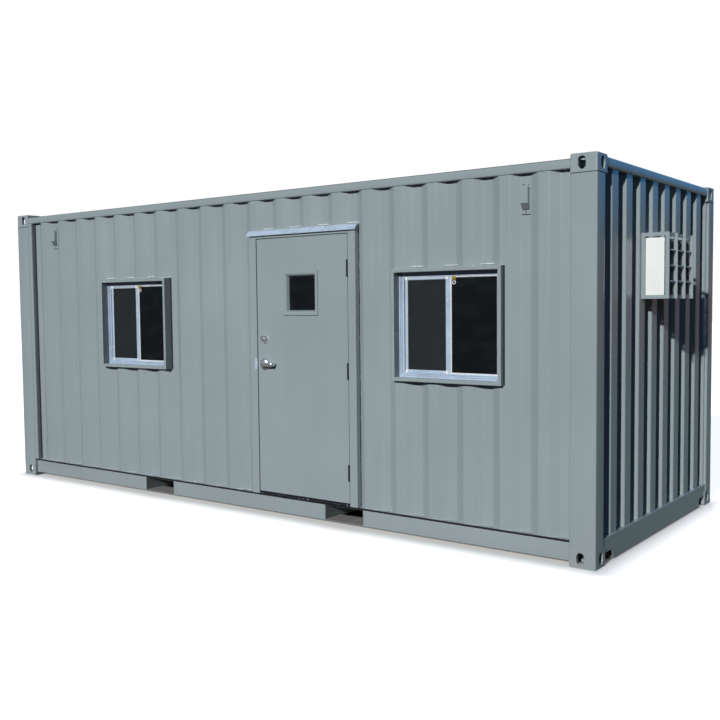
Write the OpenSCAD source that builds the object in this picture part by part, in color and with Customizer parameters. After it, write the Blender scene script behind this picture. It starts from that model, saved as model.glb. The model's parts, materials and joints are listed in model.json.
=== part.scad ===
// Shipping container cabin: a 20 ft steel box fitted out as a site office.
// Millimetres, +Z up, door side towards -Y, origin on the ground under the middle of the box.

/* [Container box] */
// Overall length over the corner castings
box_l = 6058; // [5000:1:7000]
// Overall width over the corner castings
box_w = 2438; // [2300:1:2700]
// Overall height over the corner castings
box_h = 2591; // [2300:1:2896]
// Length of a corner casting along the box
casting_l = 178; // [170:1:190]
// Width of a corner casting across the box
casting_w = 162; // [155:1:175]
// Height of a corner casting
casting_h = 118; // [112:1:126]
// Wall of a corner casting behind its holes
casting_t = 28; // [22:1:32]
// Length of the twist lock slot in a casting
slot_l = 124.5; // [115:0.5:130]
// Width of the twist lock slot in a casting
slot_w = 63.5; // [56:0.5:68]
// Slot centre measured from the end of the box
slot_from_end = 102.5; // [95:0.5:106]
// Slot centre measured from the side of the box
slot_from_side = 89.5; // [84:0.5:94]
// Height of the lashing holes in a casting
lash_h = 79.5; // [72:0.5:84]
// Width of the lashing holes in a casting
lash_w = 51; // [44:0.5:60]

/* [Steel frame] */
// Width of a corner post seen from the end
post_end_w = 130; // [100:1:150]
// Wall of the corner posts
post_t = 6; // [4:0.5:10]
// Width of the closing channel beside each left post
channel_w = 57; // [40:1:80]
// Depth of the closing channel beside each left post
channel_d = 60; // [50:1:80]
// Side of the square top rail tube
top_rail_s = 60; // [50:1:70]
// Wall of the top rail tube
top_rail_t = 4; // [3:0.5:6]
// Outer corner radius of posts, rails and headers
tube_r = 6; // [3:0.5:8]
// Drop of the top rails below the casting tops
top_rail_drop = 30; // [26:1:45]
// Set back of rails and headers from the casting faces
rail_inset = 6; // [3:0.5:9]
// Height of the bottom rail above the ground
rail_z = 33; // [25:1:45]
// Height of the bottom rail section
rail_h = 139; // [130:1:160]
// Thickness of the bottom rail plate
rail_t = 5; // [4:0.5:8]
// Set back of the bottom rail web from the casting face
web_inset = 28; // [18:1:32]
// Width of the bottom rail top flange
flange_w = 48; // [48:1:60]
// Height of an end header tube
header_h = 63; // [50:1:72]
// Depth of an end header tube
header_d = 64; // [62:1:80]
// Drop of the headers below the casting tops
header_drop = 13; // [10:1:20]
// Clear height under an end sill
sill_z = 20; // [15:1:30]
// Depth of the end sill flanges
sill_d = 80; // [72:1:100]
// Width of the notch beside each bottom casting
notch_w = 150; // [100:1:200]
// Height of the notch beside each bottom casting
notch_h = 58; // [40:1:70]

/* [Floor and fork pockets] */
// Distance between the fork pocket centres
pocket_spacing = 2060; // [1900:10:2200]
// Clear width of a fork pocket
pocket_w = 355; // [330:1:380]
// Clear height of a fork pocket
pocket_h = 111; // [105:1:116]
// Plate of the fork pockets
pocket_t = 4; // [3:0.5:6]
// Length of the strap under each pocket mouth
strap_l = 200; // [150:5:300]
// Distance between floor cross members
joist_pitch = 300; // [260:5:360]
// Flange width of a cross member
joist_w = 45; // [40:1:60]
// Plate of a cross member
joist_t = 4.5; // [3:0.5:6]
// Plywood floor thickness
floor_t = 28; // [21:1:32]

/* [Corrugated walls] */
// Wall sheet thickness
sheet_t = 2; // [1.5:0.1:3]
// Side wall set back from the casting face
side_inset = 10; // [8:0.5:12]
// Side wall outer flat
side_outer = 72; // [60:1:90]
// Side wall inner flat
side_inner = 70; // [66:1:90]
// Run of a side wall slope
side_slope = 68; // [40:1:80]
// Depth of the side wall corrugation
side_depth = 36; // [25:1:38]
// End wall set back from the casting face
end_inset = 20; // [14:0.5:22]
// End wall outer flat
end_outer = 110; // [95:1:130]
// End wall inner flat
end_inner = 104; // [90:1:120]
// Run of an end wall slope
end_slope = 18; // [12:1:40]
// Depth of the end wall corrugation
end_depth = 46; // [30:1:46]
// Pitch of the stamped roof ribs
roof_pitch = 209; // [180:1:260]
// Width of a roof rib at its top
roof_rib_w = 91; // [60:1:110]
// Run of a roof rib side
roof_slope = 14; // [8:1:25]
// Height of a roof rib
roof_rib_h = 20; // [10:1:24]
// Plain margin of the roof at the side rails
roof_margin = 110; // [90:1:180]
// Thickness of the flat plate between the roof sheet and each header
header_plate_t = 4; // [3:0.5:6]

/* [Plain wall between the openings] */
// Wall between the left channel and the left window; the four walls share what the openings leave
left_pier = 1077; // [600:1:1400]
// Wall between the left window and the door frame
door_left_pier = 984; // [500:1:1300]
// Wall between the door frame and the right window
door_right_pier = 328; // [200:1:600]
// Wall between the right window and the right post
right_pier = 463; // [300:1:700]

/* [Windows] */
// Outer width of a window surround
surround_w = 870; // [760:1:900]
// Outer height of a window surround
surround_h = 790; // [700:1:860]
// Height of the surround's lower edge
surround_z = 1132; // [1000:1:1250]
// Width of a surround member
surround_t = 26; // [18:1:36]
// How far a surround stands out of the casting plane
surround_out = 32; // [20:1:45]
// Depth of a surround from front to back
surround_d = 130; // [125:1:160]
// Depth of the window behind the surround's face
reveal = 65; // [45:1:70]
// Face width of the window's outer frame
sash_face = 32; // [24:1:40]
// Depth of the window's outer frame
sash_d = 55; // [50:1:60]
// Width of the two tracks in the window's outer frame
track_w = 5; // [3:0.5:7]
// Depth of the tracks in the window's outer frame
track_d = 10; // [6:0.5:14]
// Width of the middle stile
stile_w = 14; // [10:1:30]
// Bead around the glass beside the stile
bead_w = 11; // [8:1:20]
// Member of the insect screen frame
screen_w = 22; // [14:1:30]
// Slot left beside the insect screen
screen_gap = 14; // [6:1:24]
// Glass thickness
glass_t = 4; // [3:0.5:6]

/* [Door] */
// Door leaf width
leaf_w = 900; // [820:1:940]
// Wall height left over the door frame
wall_over_door = 239; // [150:1:400]
// Door leaf thickness
leaf_t = 44; // [40:1:50]
// Height of the threshold plate
threshold_h = 14; // [10:1:25]
// Gap under the door leaf
leaf_floor_gap = 9; // [8:0.5:14]
// Gap over the door leaf
head_gap = 5; // [5:0.5:8]
// Gap at the hinge edge
hinge_gap = 6; // [6:0.5:8]
// Gap at the latch edge
latch_gap = 7; // [7:0.5:10]
// Gap between leaf and stop
stop_gap = 5; // [5:0.5:8]
// Face width of the door frame
jamb_w = 70; // [50:1:90]
// Face height of the door head
head_h = 62; // [60:1:90]
// How far the door frame stands out of the casting plane
frame_out = 10; // [6:0.5:16]
// Set back of the leaf from the frame's face
leaf_set = 3; // [0:0.5:5]
// Width of the door stop
stop_w = 16; // [12:1:22]
// Depth of the door stop
stop_d = 30; // [20:1:40]
// Length of the drip cap
cap_l = 1080; // [1060:1:1200]
// Height of the drip cap
cap_h = 42; // [36:1:50]
// Projection of the drip cap
cap_out = 20; // [14:1:40]
// Sheet of the drip cap
cap_t = 1.5; // [1:0.1:3]
// Clear width of the vision panel
lite_w = 281; // [200:1:320]
// Clear height of the vision panel
lite_h = 276; // [200:1:320]
// Middle of the vision panel below the leaf's upper edge
lite_drop = 430; // [300:1:500]
// Width of the vision panel trim
trim_w = 31; // [20:1:40]
// Thickness of the vision panel trim
trim_t = 10; // [6:0.5:14]

/* [Door ironwork] */
// Hinge height
hinge_h = 125; // [100:1:140]
// Hinge knuckle radius
knuckle_r = 6.5; // [6:0.1:7]
// Hinge pin radius
pin_r = 3.5; // [3:0.1:4]
// Running clearance of pins and spindles
run_gap = 0.4; // [0.3:0.05:0.6]
// Pin axis in front of the leaf's face
pin_out = 10; // [9.5:0.5:12]
// Hinge plate thickness
plate_t = 2; // [1.5:0.1:2.4]
// Hinge plate depth behind the pin axis
plate_d = 40; // [30:1:44]
// Set back of a hinge plate behind the knuckles
plate_set = 1; // [0.5:0.1:2]
// Lower hinge centre above the leaf's lower edge
hinge_low = 230; // [150:1:300]
// Upper hinge centre below the leaf's upper edge
hinge_high = 252; // [150:1:300]
// Lever and deadbolt set back from the latch edge
backset = 70; // [60:1:80]
// Lever spindle above the leaf's lower edge
lever_z = 1018; // [900:1:1060]
// Deadbolt above the leaf's lower edge
deadbolt_z = 1215; // [1150:1:1300]
// Lever rose radius
rose_r = 44; // [34:0.5:48]
// Lever rose thickness
rose_t = 14; // [10:0.5:18]
// Radius of the flat top of a domed lever rose
rose_top_r = 26; // [20:0.5:30]
// Height of a lever rose's upright rim
rose_rim = 4; // [2:0.5:8]
// Lever spindle radius
spindle_r = 11; // [8:0.5:13]
// Clearance of the bore for the spindle in the leaf
spindle_gap = 4; // [2:0.5:6]
// Lever length from the spindle
lever_l = 118; // [100:1:130]
// Lever bar height
lever_h = 22; // [16:1:26]
// Lever bar thickness
lever_t = 13; // [9:1:16]
// Gap between lever bar and rose
lever_stand = 30; // [20:1:45]
// Distance of the lever's returned tip from the leaf
tip_gap = 14; // [8:1:20]
// Deadbolt collar radius
bolt_r = 34; // [28:0.5:38]
// Deadbolt collar thickness
bolt_t = 20; // [10:1:24]
// Taper of the deadbolt collar
bolt_taper = 7; // [2:0.5:9]
// Deadbolt barrel radius through the leaf
barrel_r = 20; // [16:0.5:24]
// Radius of the deadbolt's key plug
plug_r = 15; // [10:0.5:18]
// How far the key plug stands out of the collar
plug_out = 4; // [2:0.5:8]
// Strike plate width
strike_w = 28; // [20:1:34]
// Strike plate height
strike_h = 88; // [70:1:110]

/* [Air conditioner and vents] */
// Middle of the air conditioner across the box
ac_y = -146; // [-150:1:-140]
// Air conditioner width
ac_w = 460; // [440:1:468]
// Air conditioner height
ac_h = 395; // [340:1:410]
// Wall height between the air conditioner and the end header
ac_drop = 407; // [300:1:600]
// Air conditioner standing out of the casting plane
ac_out = 130; // [90:1:134]
// Air conditioner standing into the room, behind the casting plane
ac_in = 190; // [120:1:300]
// Casing sheet of the air conditioner
ac_t = 8; // [4:0.5:12]
// Middle of the guard cage across the box
cage_y = -133; // [-150:1:-126]
// Guard cage width
cage_w = 528; // [514:1:620]
// Guard cage height
cage_h = 448; // [440:1:520]
// Guard cage standing out of the casting plane
cage_out = 170; // [162:1:220]
// Gap under the air conditioner inside the cage
cage_drop = 19; // [14:1:30]
// Width of the cage's upright flat bars
bar_w = 25; // [20:1:32]
// Thickness of the cage's flat bars
bar_t = 6; // [4:0.5:10]
// Height of the cage's upper and lower bands
band_h = 25; // [16:1:32]
// Diameter of the cage's cross rods
rod_d = 10; // [6:1:14]
// Vent plate width
vent_w = 60; // [54:1:64]
// Vent plate height
vent_h = 200; // [170:1:240]
// Thickness of the vent's sheet
vent_t = 2; // [1.5:0.1:3]
// Vent cover width
hood_w = 52; // [32:1:56]
// Vent cover depth
hood_d = 34; // [20:1:40]
// Height of a vent cover's front
hood_h = 105; // [80:1:120]
// Height of a vent cover's slanted underside
hood_slant = 34; // [20:1:40]
// Top of a vent cover below the plate's upper edge
hood_drop = 26; // [16:1:40]
// Top of a vent below the top rail
vent_drop = 56; // [40:1:80]

/* [Hidden] */
$fn = 48;

paint = [0.55, 0.60, 0.62];
bright_metal = [0.82, 0.84, 0.86];
dark = [0.10, 0.11, 0.12];
white = [0.92, 0.92, 0.90];
plywood = [0.62, 0.48, 0.33];
clear = [0.06, 0.08, 0.09];

half_l = box_l / 2;
half_w = box_w / 2;
cut = 1;
// Hairline between sheets that are welded edge to edge
seam = 0.3;

// Heights of the frame
rail_top = rail_z + rail_h;
top_rail_top = box_h - top_rail_drop;
top_rail_z = top_rail_top - top_rail_s;
header_top = box_h - header_drop;
header_z = header_top - header_h;
floor_z = rail_z + 2 * pocket_t + pocket_h;
floor_top = floor_z + floor_t;

// Front and back wall
wall_x0 = -half_l + casting_l + channel_w;
wall_x1 = half_l - casting_l;
wall_cx = (wall_x0 + wall_x1) / 2;
side_form = [side_outer, side_slope, side_inner, side_depth];
side_pitch = side_outer + side_inner + 2 * side_slope;
flange_edge = half_w - rail_inset - flange_w;

// End walls
end_y = half_w - post_end_w;
end_form = [end_outer, end_slope, end_inner, end_depth];

// Places along the front wall
frame_w = leaf_w + latch_gap + hinge_gap + 2 * jamb_w;
free_wall = wall_x1 - wall_x0 - 2 * surround_w - frame_w;
pier_k = free_wall / (left_pier + door_left_pier + door_right_pier + right_pier);
left_window_x = wall_x0 + pier_k * left_pier + surround_w / 2;
right_window_x = wall_x1 - pier_k * right_pier - surround_w / 2;
frame_left = left_window_x + surround_w / 2 + pier_k * door_left_pier;
frame_right = frame_left + frame_w;

// Windows
window_xs = [left_window_x, right_window_x];
surround_top = surround_z + surround_h;
window_w = surround_w - 2 * surround_t;
window_h = surround_h - 2 * surround_t;
window_z = surround_z + surround_t;
window_y = -half_w - surround_out + reveal;

// Door
leaf_z = rail_top + threshold_h + leaf_floor_gap;
frame_top = top_rail_z - wall_over_door;
head_z = frame_top - head_h;
leaf_top = head_z - head_gap;
leaf_h = leaf_top - leaf_z;
opening_left = frame_left + jamb_w;
opening_right = frame_right - jamb_w;
leaf_left = opening_left + latch_gap;
leaf_right = opening_right - hinge_gap;
door_x = (leaf_left + leaf_right) / 2;
lite_z = leaf_top - lite_drop;
frame_y = -half_w - frame_out;
leaf_y = frame_y + leaf_set;
rabbet_d = leaf_set + leaf_t + stop_gap;
frame_d = rabbet_d + stop_d;

// Hinges
pin_x = leaf_right + hinge_gap / 2;
pin_y = leaf_y - pin_out;
hinge_lower = leaf_z + hinge_low;
hinge_upper = leaf_top - hinge_high;
hinge_zs = [hinge_lower, (hinge_lower + hinge_upper) / 2, hinge_upper];
knuckle_l = hinge_h / 5;
plate_front = pin_y + knuckle_r + plate_set;

// Lever and deadbolt
latch_x = leaf_left + backset;
spindle_z = leaf_z + lever_z;
deadbolt_cz = leaf_z + deadbolt_z;
leaf_back = leaf_y + leaf_t;

// Air conditioner
end_face = half_l - end_inset;
ac_y0 = ac_y - ac_w / 2;
ac_y1 = ac_y + ac_w / 2;
ac_top = header_z - ac_drop;
ac_z = ac_top - ac_h;
cage_z = ac_z - cage_drop;
cage_y0 = cage_y - cage_w / 2;

// Vents sit in the second recess from each end of the front wall
vent_step = floor((wall_x1 - wall_cx - side_inner / 2) / side_pitch) - 1;
vent_top = top_rail_z - vent_drop;
vent_y = -half_w + side_inset + side_depth;

// Depth of a corrugation at s, measured from the middle of a recess
function wave_depth(s, form) =
  let (
    pitch = form[0] + form[2] + 2 * form[1],
    off = abs(s - pitch * round(s / pitch)),
    run = (off - form[2] / 2) / form[1]
  )
  form[3] * (1 - min(1, max(0, run)));

// Corner points of a corrugation from a to b, with a recess centred on c
function wave_points(a, b, c, form) =
  let (
    pitch = form[0] + form[2] + 2 * form[1],
    near = form[2] / 2,
    far = form[2] / 2 + form[1],
    first = floor((a - c) / pitch) - 1,
    last = ceil((b - c) / pitch) + 1,
    inner = [
      for (k = [first:last]) for (o = [-far, -near, near, far])
        let (s = c + k * pitch + o) if (s > a + 0.01 && s < b - 0.01) s
    ]
  )
  [for (s = concat([a], inner, [b])) [s, wave_depth(s - c, form)]];

// Corrugated sheet along X from a to b, recesses towards +Y, standing h tall
module corrugated(a, b, c, form, h) {
  outer = wave_points(a, b, c, form);
  inner = [for (i = [len(outer) - 1:-1:0]) [outer[i][0], outer[i][1] + sheet_t]];
  linear_extrude(h) polygon(concat(outer, inner));
}

module side_sheet(a, b, z0, z1) {
  translate([0, -half_w + side_inset, z0]) corrugated(a, b, wall_cx, side_form, z1 - z0);
}

module end_sheet(a, b, z0, z1) {
  difference() {
    translate([end_face, 0, z0]) rotate(90) corrugated(a, b, 0, end_form, z1 - z0);
    corner_blocks();
  }
}

// The eight casting envelopes, used to fit what meets them
module corner_blocks() {
  for (sx = [-1, 1]) for (sy = [-1, 1]) for (z = [0, box_h - casting_h])
    translate([sx * (half_l - casting_l / 2), sy * (half_w - casting_w / 2), z + casting_h / 2])
      cube([casting_l, casting_w, casting_h], center = true);
}

// Straight slot with round ends: length along X, extruded along Z
module slot(l, w, h) {
  cube([l - w, w, h], center = true);
  for (s = [-1, 1]) translate([s * (l - w) / 2, 0, 0]) cylinder(d = w, h = h, center = true);
}

// Corner casting with its outer corner at the origin, running towards +X, +Y and +Z
module casting() {
  inner_t = casting_t / 3;
  difference() {
    cube([casting_l, casting_w, casting_h]);
    translate([casting_t, casting_t, casting_t])
      cube([casting_l - casting_t - inner_t, casting_w - casting_t - inner_t,
            casting_h - casting_t - inner_t]);
    translate([slot_from_end, slot_from_side, casting_t / 2]) slot(slot_l, slot_w, casting_t + 2 * cut);
    translate([slot_from_end, casting_t / 2, casting_h / 2]) rotate([90, 90, 0])
      slot(lash_h, lash_w, casting_t + 2 * cut);
    translate([casting_t / 2, slot_from_side, casting_h / 2]) rotate([0, 90, 0])
      slot(lash_h, slot_w, casting_t + 2 * cut);
  }
}

module at_corners() {
  for (mx = [0, 1]) for (my = [0, 1])
    mirror([mx, 0, 0]) mirror([0, my, 0]) translate([-half_l, -half_w, 0]) children();
}

module at_sides() {
  children();
  mirror([0, 1, 0]) children();
}

module at_ends() {
  children();
  mirror([1, 0, 0]) children();
}

module bottom_corner_castings() {
  color(paint) at_corners() casting();
}

module top_corner_castings() {
  color(paint) translate([0, 0, box_h]) mirror([0, 0, 1]) at_corners() casting();
}

// Rectangle with round corners, its lower left corner at the origin
module round_rectangle(w, d, r) {
  translate([r, 0]) square([w - 2 * r, d]);
  translate([0, r]) square([w, d - 2 * r]);
  for (x = [r, w - r]) for (y = [r, d - r]) translate([x, y]) circle(r);
}

// Box section standing along Z, folded round its corners
module tube(w, d, h, t) {
  linear_extrude(h) difference() {
    round_rectangle(w, d, tube_r);
    translate([t, t]) square([w - 2 * t, d - 2 * t]);
  }
}

module corner_posts() {
  post_h = box_h - 2 * casting_h;
  color(paint) {
    at_corners() translate([0, 0, casting_h]) tube(casting_l, post_end_w, post_h, post_t);
    at_sides() translate([-half_l + casting_l, -half_w, rail_top])
      tube(channel_w, channel_d, top_rail_z - rail_top, post_t);
  }
}

module top_side_rails() {
  rail_l = box_l - 2 * casting_l;
  color(paint) at_sides()
    translate([-rail_l / 2, -half_w + rail_inset, top_rail_top]) rotate([0, 90, 0])
      tube(top_rail_s, top_rail_s, rail_l, top_rail_t);
}

// Bottom rail section: flange under the wall, web set back, lower flange under the cross members
module rail_profile() {
  translate([rail_inset, rail_h - rail_t]) square([flange_w, rail_t]);
  translate([web_inset, 0]) square([rail_t, rail_h]);
  translate([web_inset, 0]) square([flange_w, rail_t]);
}

module pocket_envelope() {
  outer_w = pocket_w + 2 * pocket_t;
  for (s = [-1, 1])
    translate([s * pocket_spacing / 2 - outer_w / 2, -half_w, rail_z])
      cube([outer_w, box_w, floor_z - rail_z]);
}

module bottom_side_rails() {
  rail_l = box_l - 2 * casting_l;
  color(paint) difference() {
    at_sides() translate([-rail_l / 2, -half_w, rail_z]) rotate([90, 0, 90])
      linear_extrude(rail_l) rail_profile();
    pocket_envelope();
  }
}

module end_headers() {
  header_l = box_w - 2 * casting_w;
  color(paint) at_ends()
    translate([half_l - rail_inset - header_d, header_l / 2, header_z]) rotate([90, 0, 0])
      tube(header_d, header_h, header_l, post_t);
}

// End sill section: web at the end face with two flanges running inwards
module sill_profile() {
  square([rail_t, rail_top - sill_z]);
  square([sill_d, rail_t]);
  translate([0, rail_top - sill_z - rail_t]) square([sill_d, rail_t]);
}

module sill_notch() {
  y0 = half_w - casting_w;
  translate([half_l - sill_d - 2 * rail_inset, 0, sill_z]) rotate([90, 0, 90])
    linear_extrude(sill_d + 2 * rail_inset)
      polygon([[y0 + cut, -cut], [y0 - notch_w, -cut], [y0 - notch_w + notch_h / 2, notch_h],
               [y0 + cut, notch_h]]);
}

module end_sills() {
  color(paint) at_ends() difference() {
    translate([half_l - rail_inset, end_y, sill_z]) rotate([90, 0, 0]) mirror([1, 0, 0])
      linear_extrude(2 * end_y) sill_profile();
    corner_blocks();
    at_sides() sill_notch();
  }
}

module fork_pocket() {
  outer_w = pocket_w + 2 * pocket_t;
  tunnel = 2 * (half_w - web_inset);
  translate([-outer_w / 2, -tunnel / 2, rail_z]) {
    for (x = [0, outer_w - pocket_t])
      translate([x, 0, 0]) cube([pocket_t, tunnel, floor_z - rail_z]);
    translate([0, 0, pocket_t + pocket_h]) cube([outer_w, tunnel, pocket_t]);
    for (y = [0, tunnel - strap_l]) translate([0, y, 0]) cube([outer_w, strap_l, pocket_t]);
  }
}

module fork_pockets() {
  color(paint) for (s = [-1, 1]) translate([s * pocket_spacing / 2, 0, 0]) fork_pocket();
}

module joist(l, h) {
  translate([0, l / 2, 0]) rotate([90, 0, 0]) linear_extrude(l) {
    square([joist_t, h]);
    square([joist_w, joist_t]);
    translate([0, h - joist_t]) square([joist_w, joist_t]);
  }
}

module floor_cross_members() {
  joist_l = box_w - 2 * (web_inset + rail_t);
  pocket_reach = pocket_w / 2 + pocket_t + joist_w;
  last = floor((half_l - casting_l - joist_w) / joist_pitch);
  color(paint) for (k = [-last:last])
    if (abs(abs(k * joist_pitch) - pocket_spacing / 2) > pocket_reach)
      translate([k * joist_pitch - joist_w / 2, 0, rail_z + rail_t])
        joist(joist_l, floor_z - rail_z - rail_t);
}

module plywood_floor() {
  floor_l = 2 * (half_l - rail_inset - sill_d);
  color(plywood) difference() {
    translate([-floor_l / 2, -flange_edge, floor_z]) cube([floor_l, 2 * flange_edge, floor_t]);
    at_corners() cube([casting_l, post_end_w, box_h]);
    at_sides() translate([-half_l + casting_l, -half_w, 0]) cube([channel_w, channel_d, box_h]);
    translate([frame_left, frame_y, 0]) cube([frame_right - frame_left, frame_d, box_h]);
  }
}

// Stamped ribs: trapezoids along the roof, cut to a trapezoid across it
module roof_ribs() {
  run = 2 * (half_l - casting_l);
  count = floor((run / 2 - roof_pitch / 2) / roof_pitch);
  across = half_w - roof_margin;
  foot = roof_rib_w / 2 + roof_slope;
  intersection() {
    rotate([90, 0, 0]) linear_extrude(box_w, center = true)
      for (k = [-count:count]) translate([k * roof_pitch, 0])
        polygon([[-foot, 0], [foot, 0], [roof_rib_w / 2, roof_rib_h], [-roof_rib_w / 2, roof_rib_h]]);
    rotate([90, 0, 90]) linear_extrude(run, center = true)
      polygon([[-across, 0], [across, 0], [across - 3 * roof_rib_h, roof_rib_h],
               [-across + 3 * roof_rib_h, roof_rib_h]]);
  }
}

// Ribbed sheet between the castings, and a flat plate from it to each end header
module roof_panel() {
  sheet_l = 2 * (half_l - casting_l);
  sheet_w = 2 * (half_w - rail_inset);
  plate_l = casting_l - rail_inset - header_d - seam;
  plate_w = box_w - 2 * casting_w;
  color(paint) translate([0, 0, top_rail_top]) {
    difference() {
      union() {
        translate([-sheet_l / 2, -sheet_w / 2, 0]) cube([sheet_l, sheet_w, sheet_t]);
        translate([0, 0, sheet_t]) roof_ribs();
      }
      roof_ribs();
    }
    at_ends() translate([half_l - casting_l + seam, -plate_w / 2, 0])
      cube([plate_l, plate_w, header_plate_t]);
  }
}

module back_wall() {
  color(paint) mirror([0, 1, 0]) side_sheet(wall_x0, wall_x1, rail_top, top_rail_z);
}

module left_end_wall() {
  color(paint) mirror([1, 0, 0]) end_sheet(-end_y, end_y, rail_top, header_z);
}

module right_end_wall_front() {
  color(paint) end_sheet(-end_y, ac_y0, rail_top, header_z);
}

module right_end_wall_back() {
  color(paint) end_sheet(ac_y1, end_y, rail_top, header_z);
}

module right_end_wall_below_ac() {
  color(paint) end_sheet(ac_y0, ac_y1, rail_top, ac_z);
}

module right_end_wall_above_ac() {
  color(paint) end_sheet(ac_y0, ac_y1, ac_top, header_z);
}

module front_wall_left() {
  color(paint) side_sheet(wall_x0, left_window_x - surround_w / 2, rail_top, top_rail_z);
}

module front_wall_below_windows() {
  color(paint) for (x = window_xs)
    side_sheet(x - surround_w / 2, x + surround_w / 2, rail_top, surround_z);
}

module front_wall_above_windows() {
  color(paint) for (x = window_xs)
    side_sheet(x - surround_w / 2, x + surround_w / 2, surround_top, top_rail_z);
}

module front_wall_left_of_door() {
  color(paint) side_sheet(left_window_x + surround_w / 2, frame_left, rail_top, top_rail_z);
}

module front_wall_above_door() {
  color(paint) side_sheet(frame_left, frame_right, frame_top, top_rail_z);
}

module front_wall_right_of_door() {
  color(paint) side_sheet(frame_right, right_window_x - surround_w / 2, rail_top, top_rail_z);
}

module front_wall_right() {
  color(paint) side_sheet(right_window_x + surround_w / 2, wall_x1, rail_top, top_rail_z);
}

// Rectangular ring in the XZ plane, its lower left front corner at the origin, depth along +Y
module ring(w, h, t, d) {
  difference() {
    cube([w, d, h]);
    translate([t, -cut, t]) cube([w - 2 * t, d + 2 * cut, h - 2 * t]);
  }
}

module window_surrounds() {
  color(paint) for (x = window_xs)
    translate([x - surround_w / 2, -half_w - surround_out, surround_z])
      ring(surround_w, surround_h, surround_t, surround_d);
}

// Places the window parts: origin at the lower middle of the window's front face
module at_windows() {
  for (x = window_xs) translate([x, window_y, window_z]) children();
}

// Outer frame with its two tracks, the outer one for the screen and the inner one for the sash
module track_frame() {
  wall = (sash_face - 2 * track_w) / 3;
  difference() {
    ring(window_w, window_h, sash_face, sash_d);
    for (inset = [wall, 2 * wall + track_w])
      translate([inset, -cut, inset])
        ring(window_w - 2 * inset, window_h - 2 * inset, track_w, track_d + cut);
  }
}

module window_frame() {
  clear_w = window_w / 2 - sash_face - stile_w / 2;
  clear_h = window_h - 2 * sash_face;
  translate([-window_w / 2, 0, 0]) track_frame();
  translate([-stile_w / 2, sash_d / 10, sash_face]) cube([stile_w, sash_d / 2, clear_h]);
  translate([stile_w / 2, sash_d / 6, sash_face]) ring(clear_w, clear_h, bead_w, sash_d / 3);
}

module window_frames() {
  color(bright_metal) at_windows() window_frame();
}

module window_screens() {
  clear_h = window_h - 2 * sash_face;
  left = -window_w / 2 + sash_face + screen_gap;
  screen_l = -stile_w / 2 - left;
  mesh_w = screen_l - 2 * screen_w;
  color(dark) at_windows() translate([left, sash_d / 8, sash_face]) {
    ring(screen_l, clear_h, screen_w, sash_d / 5);
    translate([screen_w - cut, sash_d / 12, screen_w - cut])
      cube([mesh_w + 2 * cut, 1, clear_h - 2 * screen_w + 2 * cut]);
  }
}

module window_glass() {
  clear_w = window_w / 2 - sash_face - stile_w / 2;
  clear_h = window_h - 2 * sash_face;
  color(clear) at_windows() {
    translate([stile_w / 2 + bead_w, sash_d / 4, sash_face + bead_w])
      cube([clear_w - 2 * bead_w, glass_t, clear_h - 2 * bead_w]);
    translate([-window_w / 2 + sash_face, sash_d * 3 / 4, sash_face])
      cube([window_w / 2 - sash_face + stile_w / 2, glass_t, clear_h]);
  }
}

// Jamb section with its rabbet corner at the origin, the wall towards +X
module jamb_profile() {
  square([jamb_w, frame_d]);
  translate([-stop_w, rabbet_d]) square([stop_w + cut, stop_d]);
}

module door_jambs() {
  color(paint) {
    translate([opening_right, frame_y, rail_top]) linear_extrude(head_z - rail_top) jamb_profile();
    translate([opening_left, frame_y, rail_top]) mirror([1, 0, 0])
      linear_extrude(head_z - rail_top) jamb_profile();
  }
}

module door_head() {
  color(paint) {
    translate([frame_left, frame_y, head_z]) cube([frame_right - frame_left, frame_d, head_h]);
    translate([opening_left + stop_w, frame_y + rabbet_d, head_z - stop_w])
      cube([opening_right - opening_left - 2 * stop_w, stop_d, stop_w + cut]);
  }
}

module door_threshold() {
  color(bright_metal) translate([opening_left, frame_y, rail_top])
    cube([opening_right - opening_left, rabbet_d, threshold_h]);
}

// Bent sheet: flange on the head, slope outwards, short drip lip
module drip_cap() {
  lip = cap_h / 6;
  flange = cap_h / 4;
  cap_z = frame_top - cap_h;
  color(bright_metal)
    translate([(frame_left + frame_right - cap_l) / 2, frame_y, cap_z]) rotate([90, 0, 90])
      linear_extrude(cap_l)
        polygon([[0, cap_h], [-cap_t, cap_h], [-cap_t, cap_h - flange], [-cap_out, lip], [-cap_out, 0],
                 [-cap_out + cap_t, 0], [-cap_out + cap_t, lip - cap_t], [0, cap_h - flange - cap_t]]);
}

module leaf_bore(x, z, r) {
  translate([x, leaf_back + cut, z]) rotate([90, 0, 0]) cylinder(r = r, h = leaf_t + 2 * cut);
}

module door_leaf() {
  color(paint) difference() {
    translate([leaf_left, leaf_y, leaf_z]) cube([leaf_w, leaf_t, leaf_h]);
    translate([door_x - lite_w / 2, leaf_y - cut, lite_z - lite_h / 2])
      cube([lite_w, leaf_t + 2 * cut, lite_h]);
    leaf_bore(latch_x, spindle_z, spindle_r + spindle_gap);
    leaf_bore(latch_x, deadbolt_cz, barrel_r);
  }
}

module vision_panel_trim() {
  trim_wide = lite_w + 2 * trim_w;
  trim_tall = lite_h + 2 * trim_w;
  color(paint) for (y = [leaf_y - trim_t, leaf_back])
    translate([door_x - trim_wide / 2, y, lite_z - trim_tall / 2])
      ring(trim_wide, trim_tall, trim_w, trim_t);
}

module vision_panel_glass() {
  color(clear) translate([door_x - lite_w / 2, leaf_y + leaf_t / 2, lite_z - lite_h / 2])
    cube([lite_w, glass_t, lite_h]);
}

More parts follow.
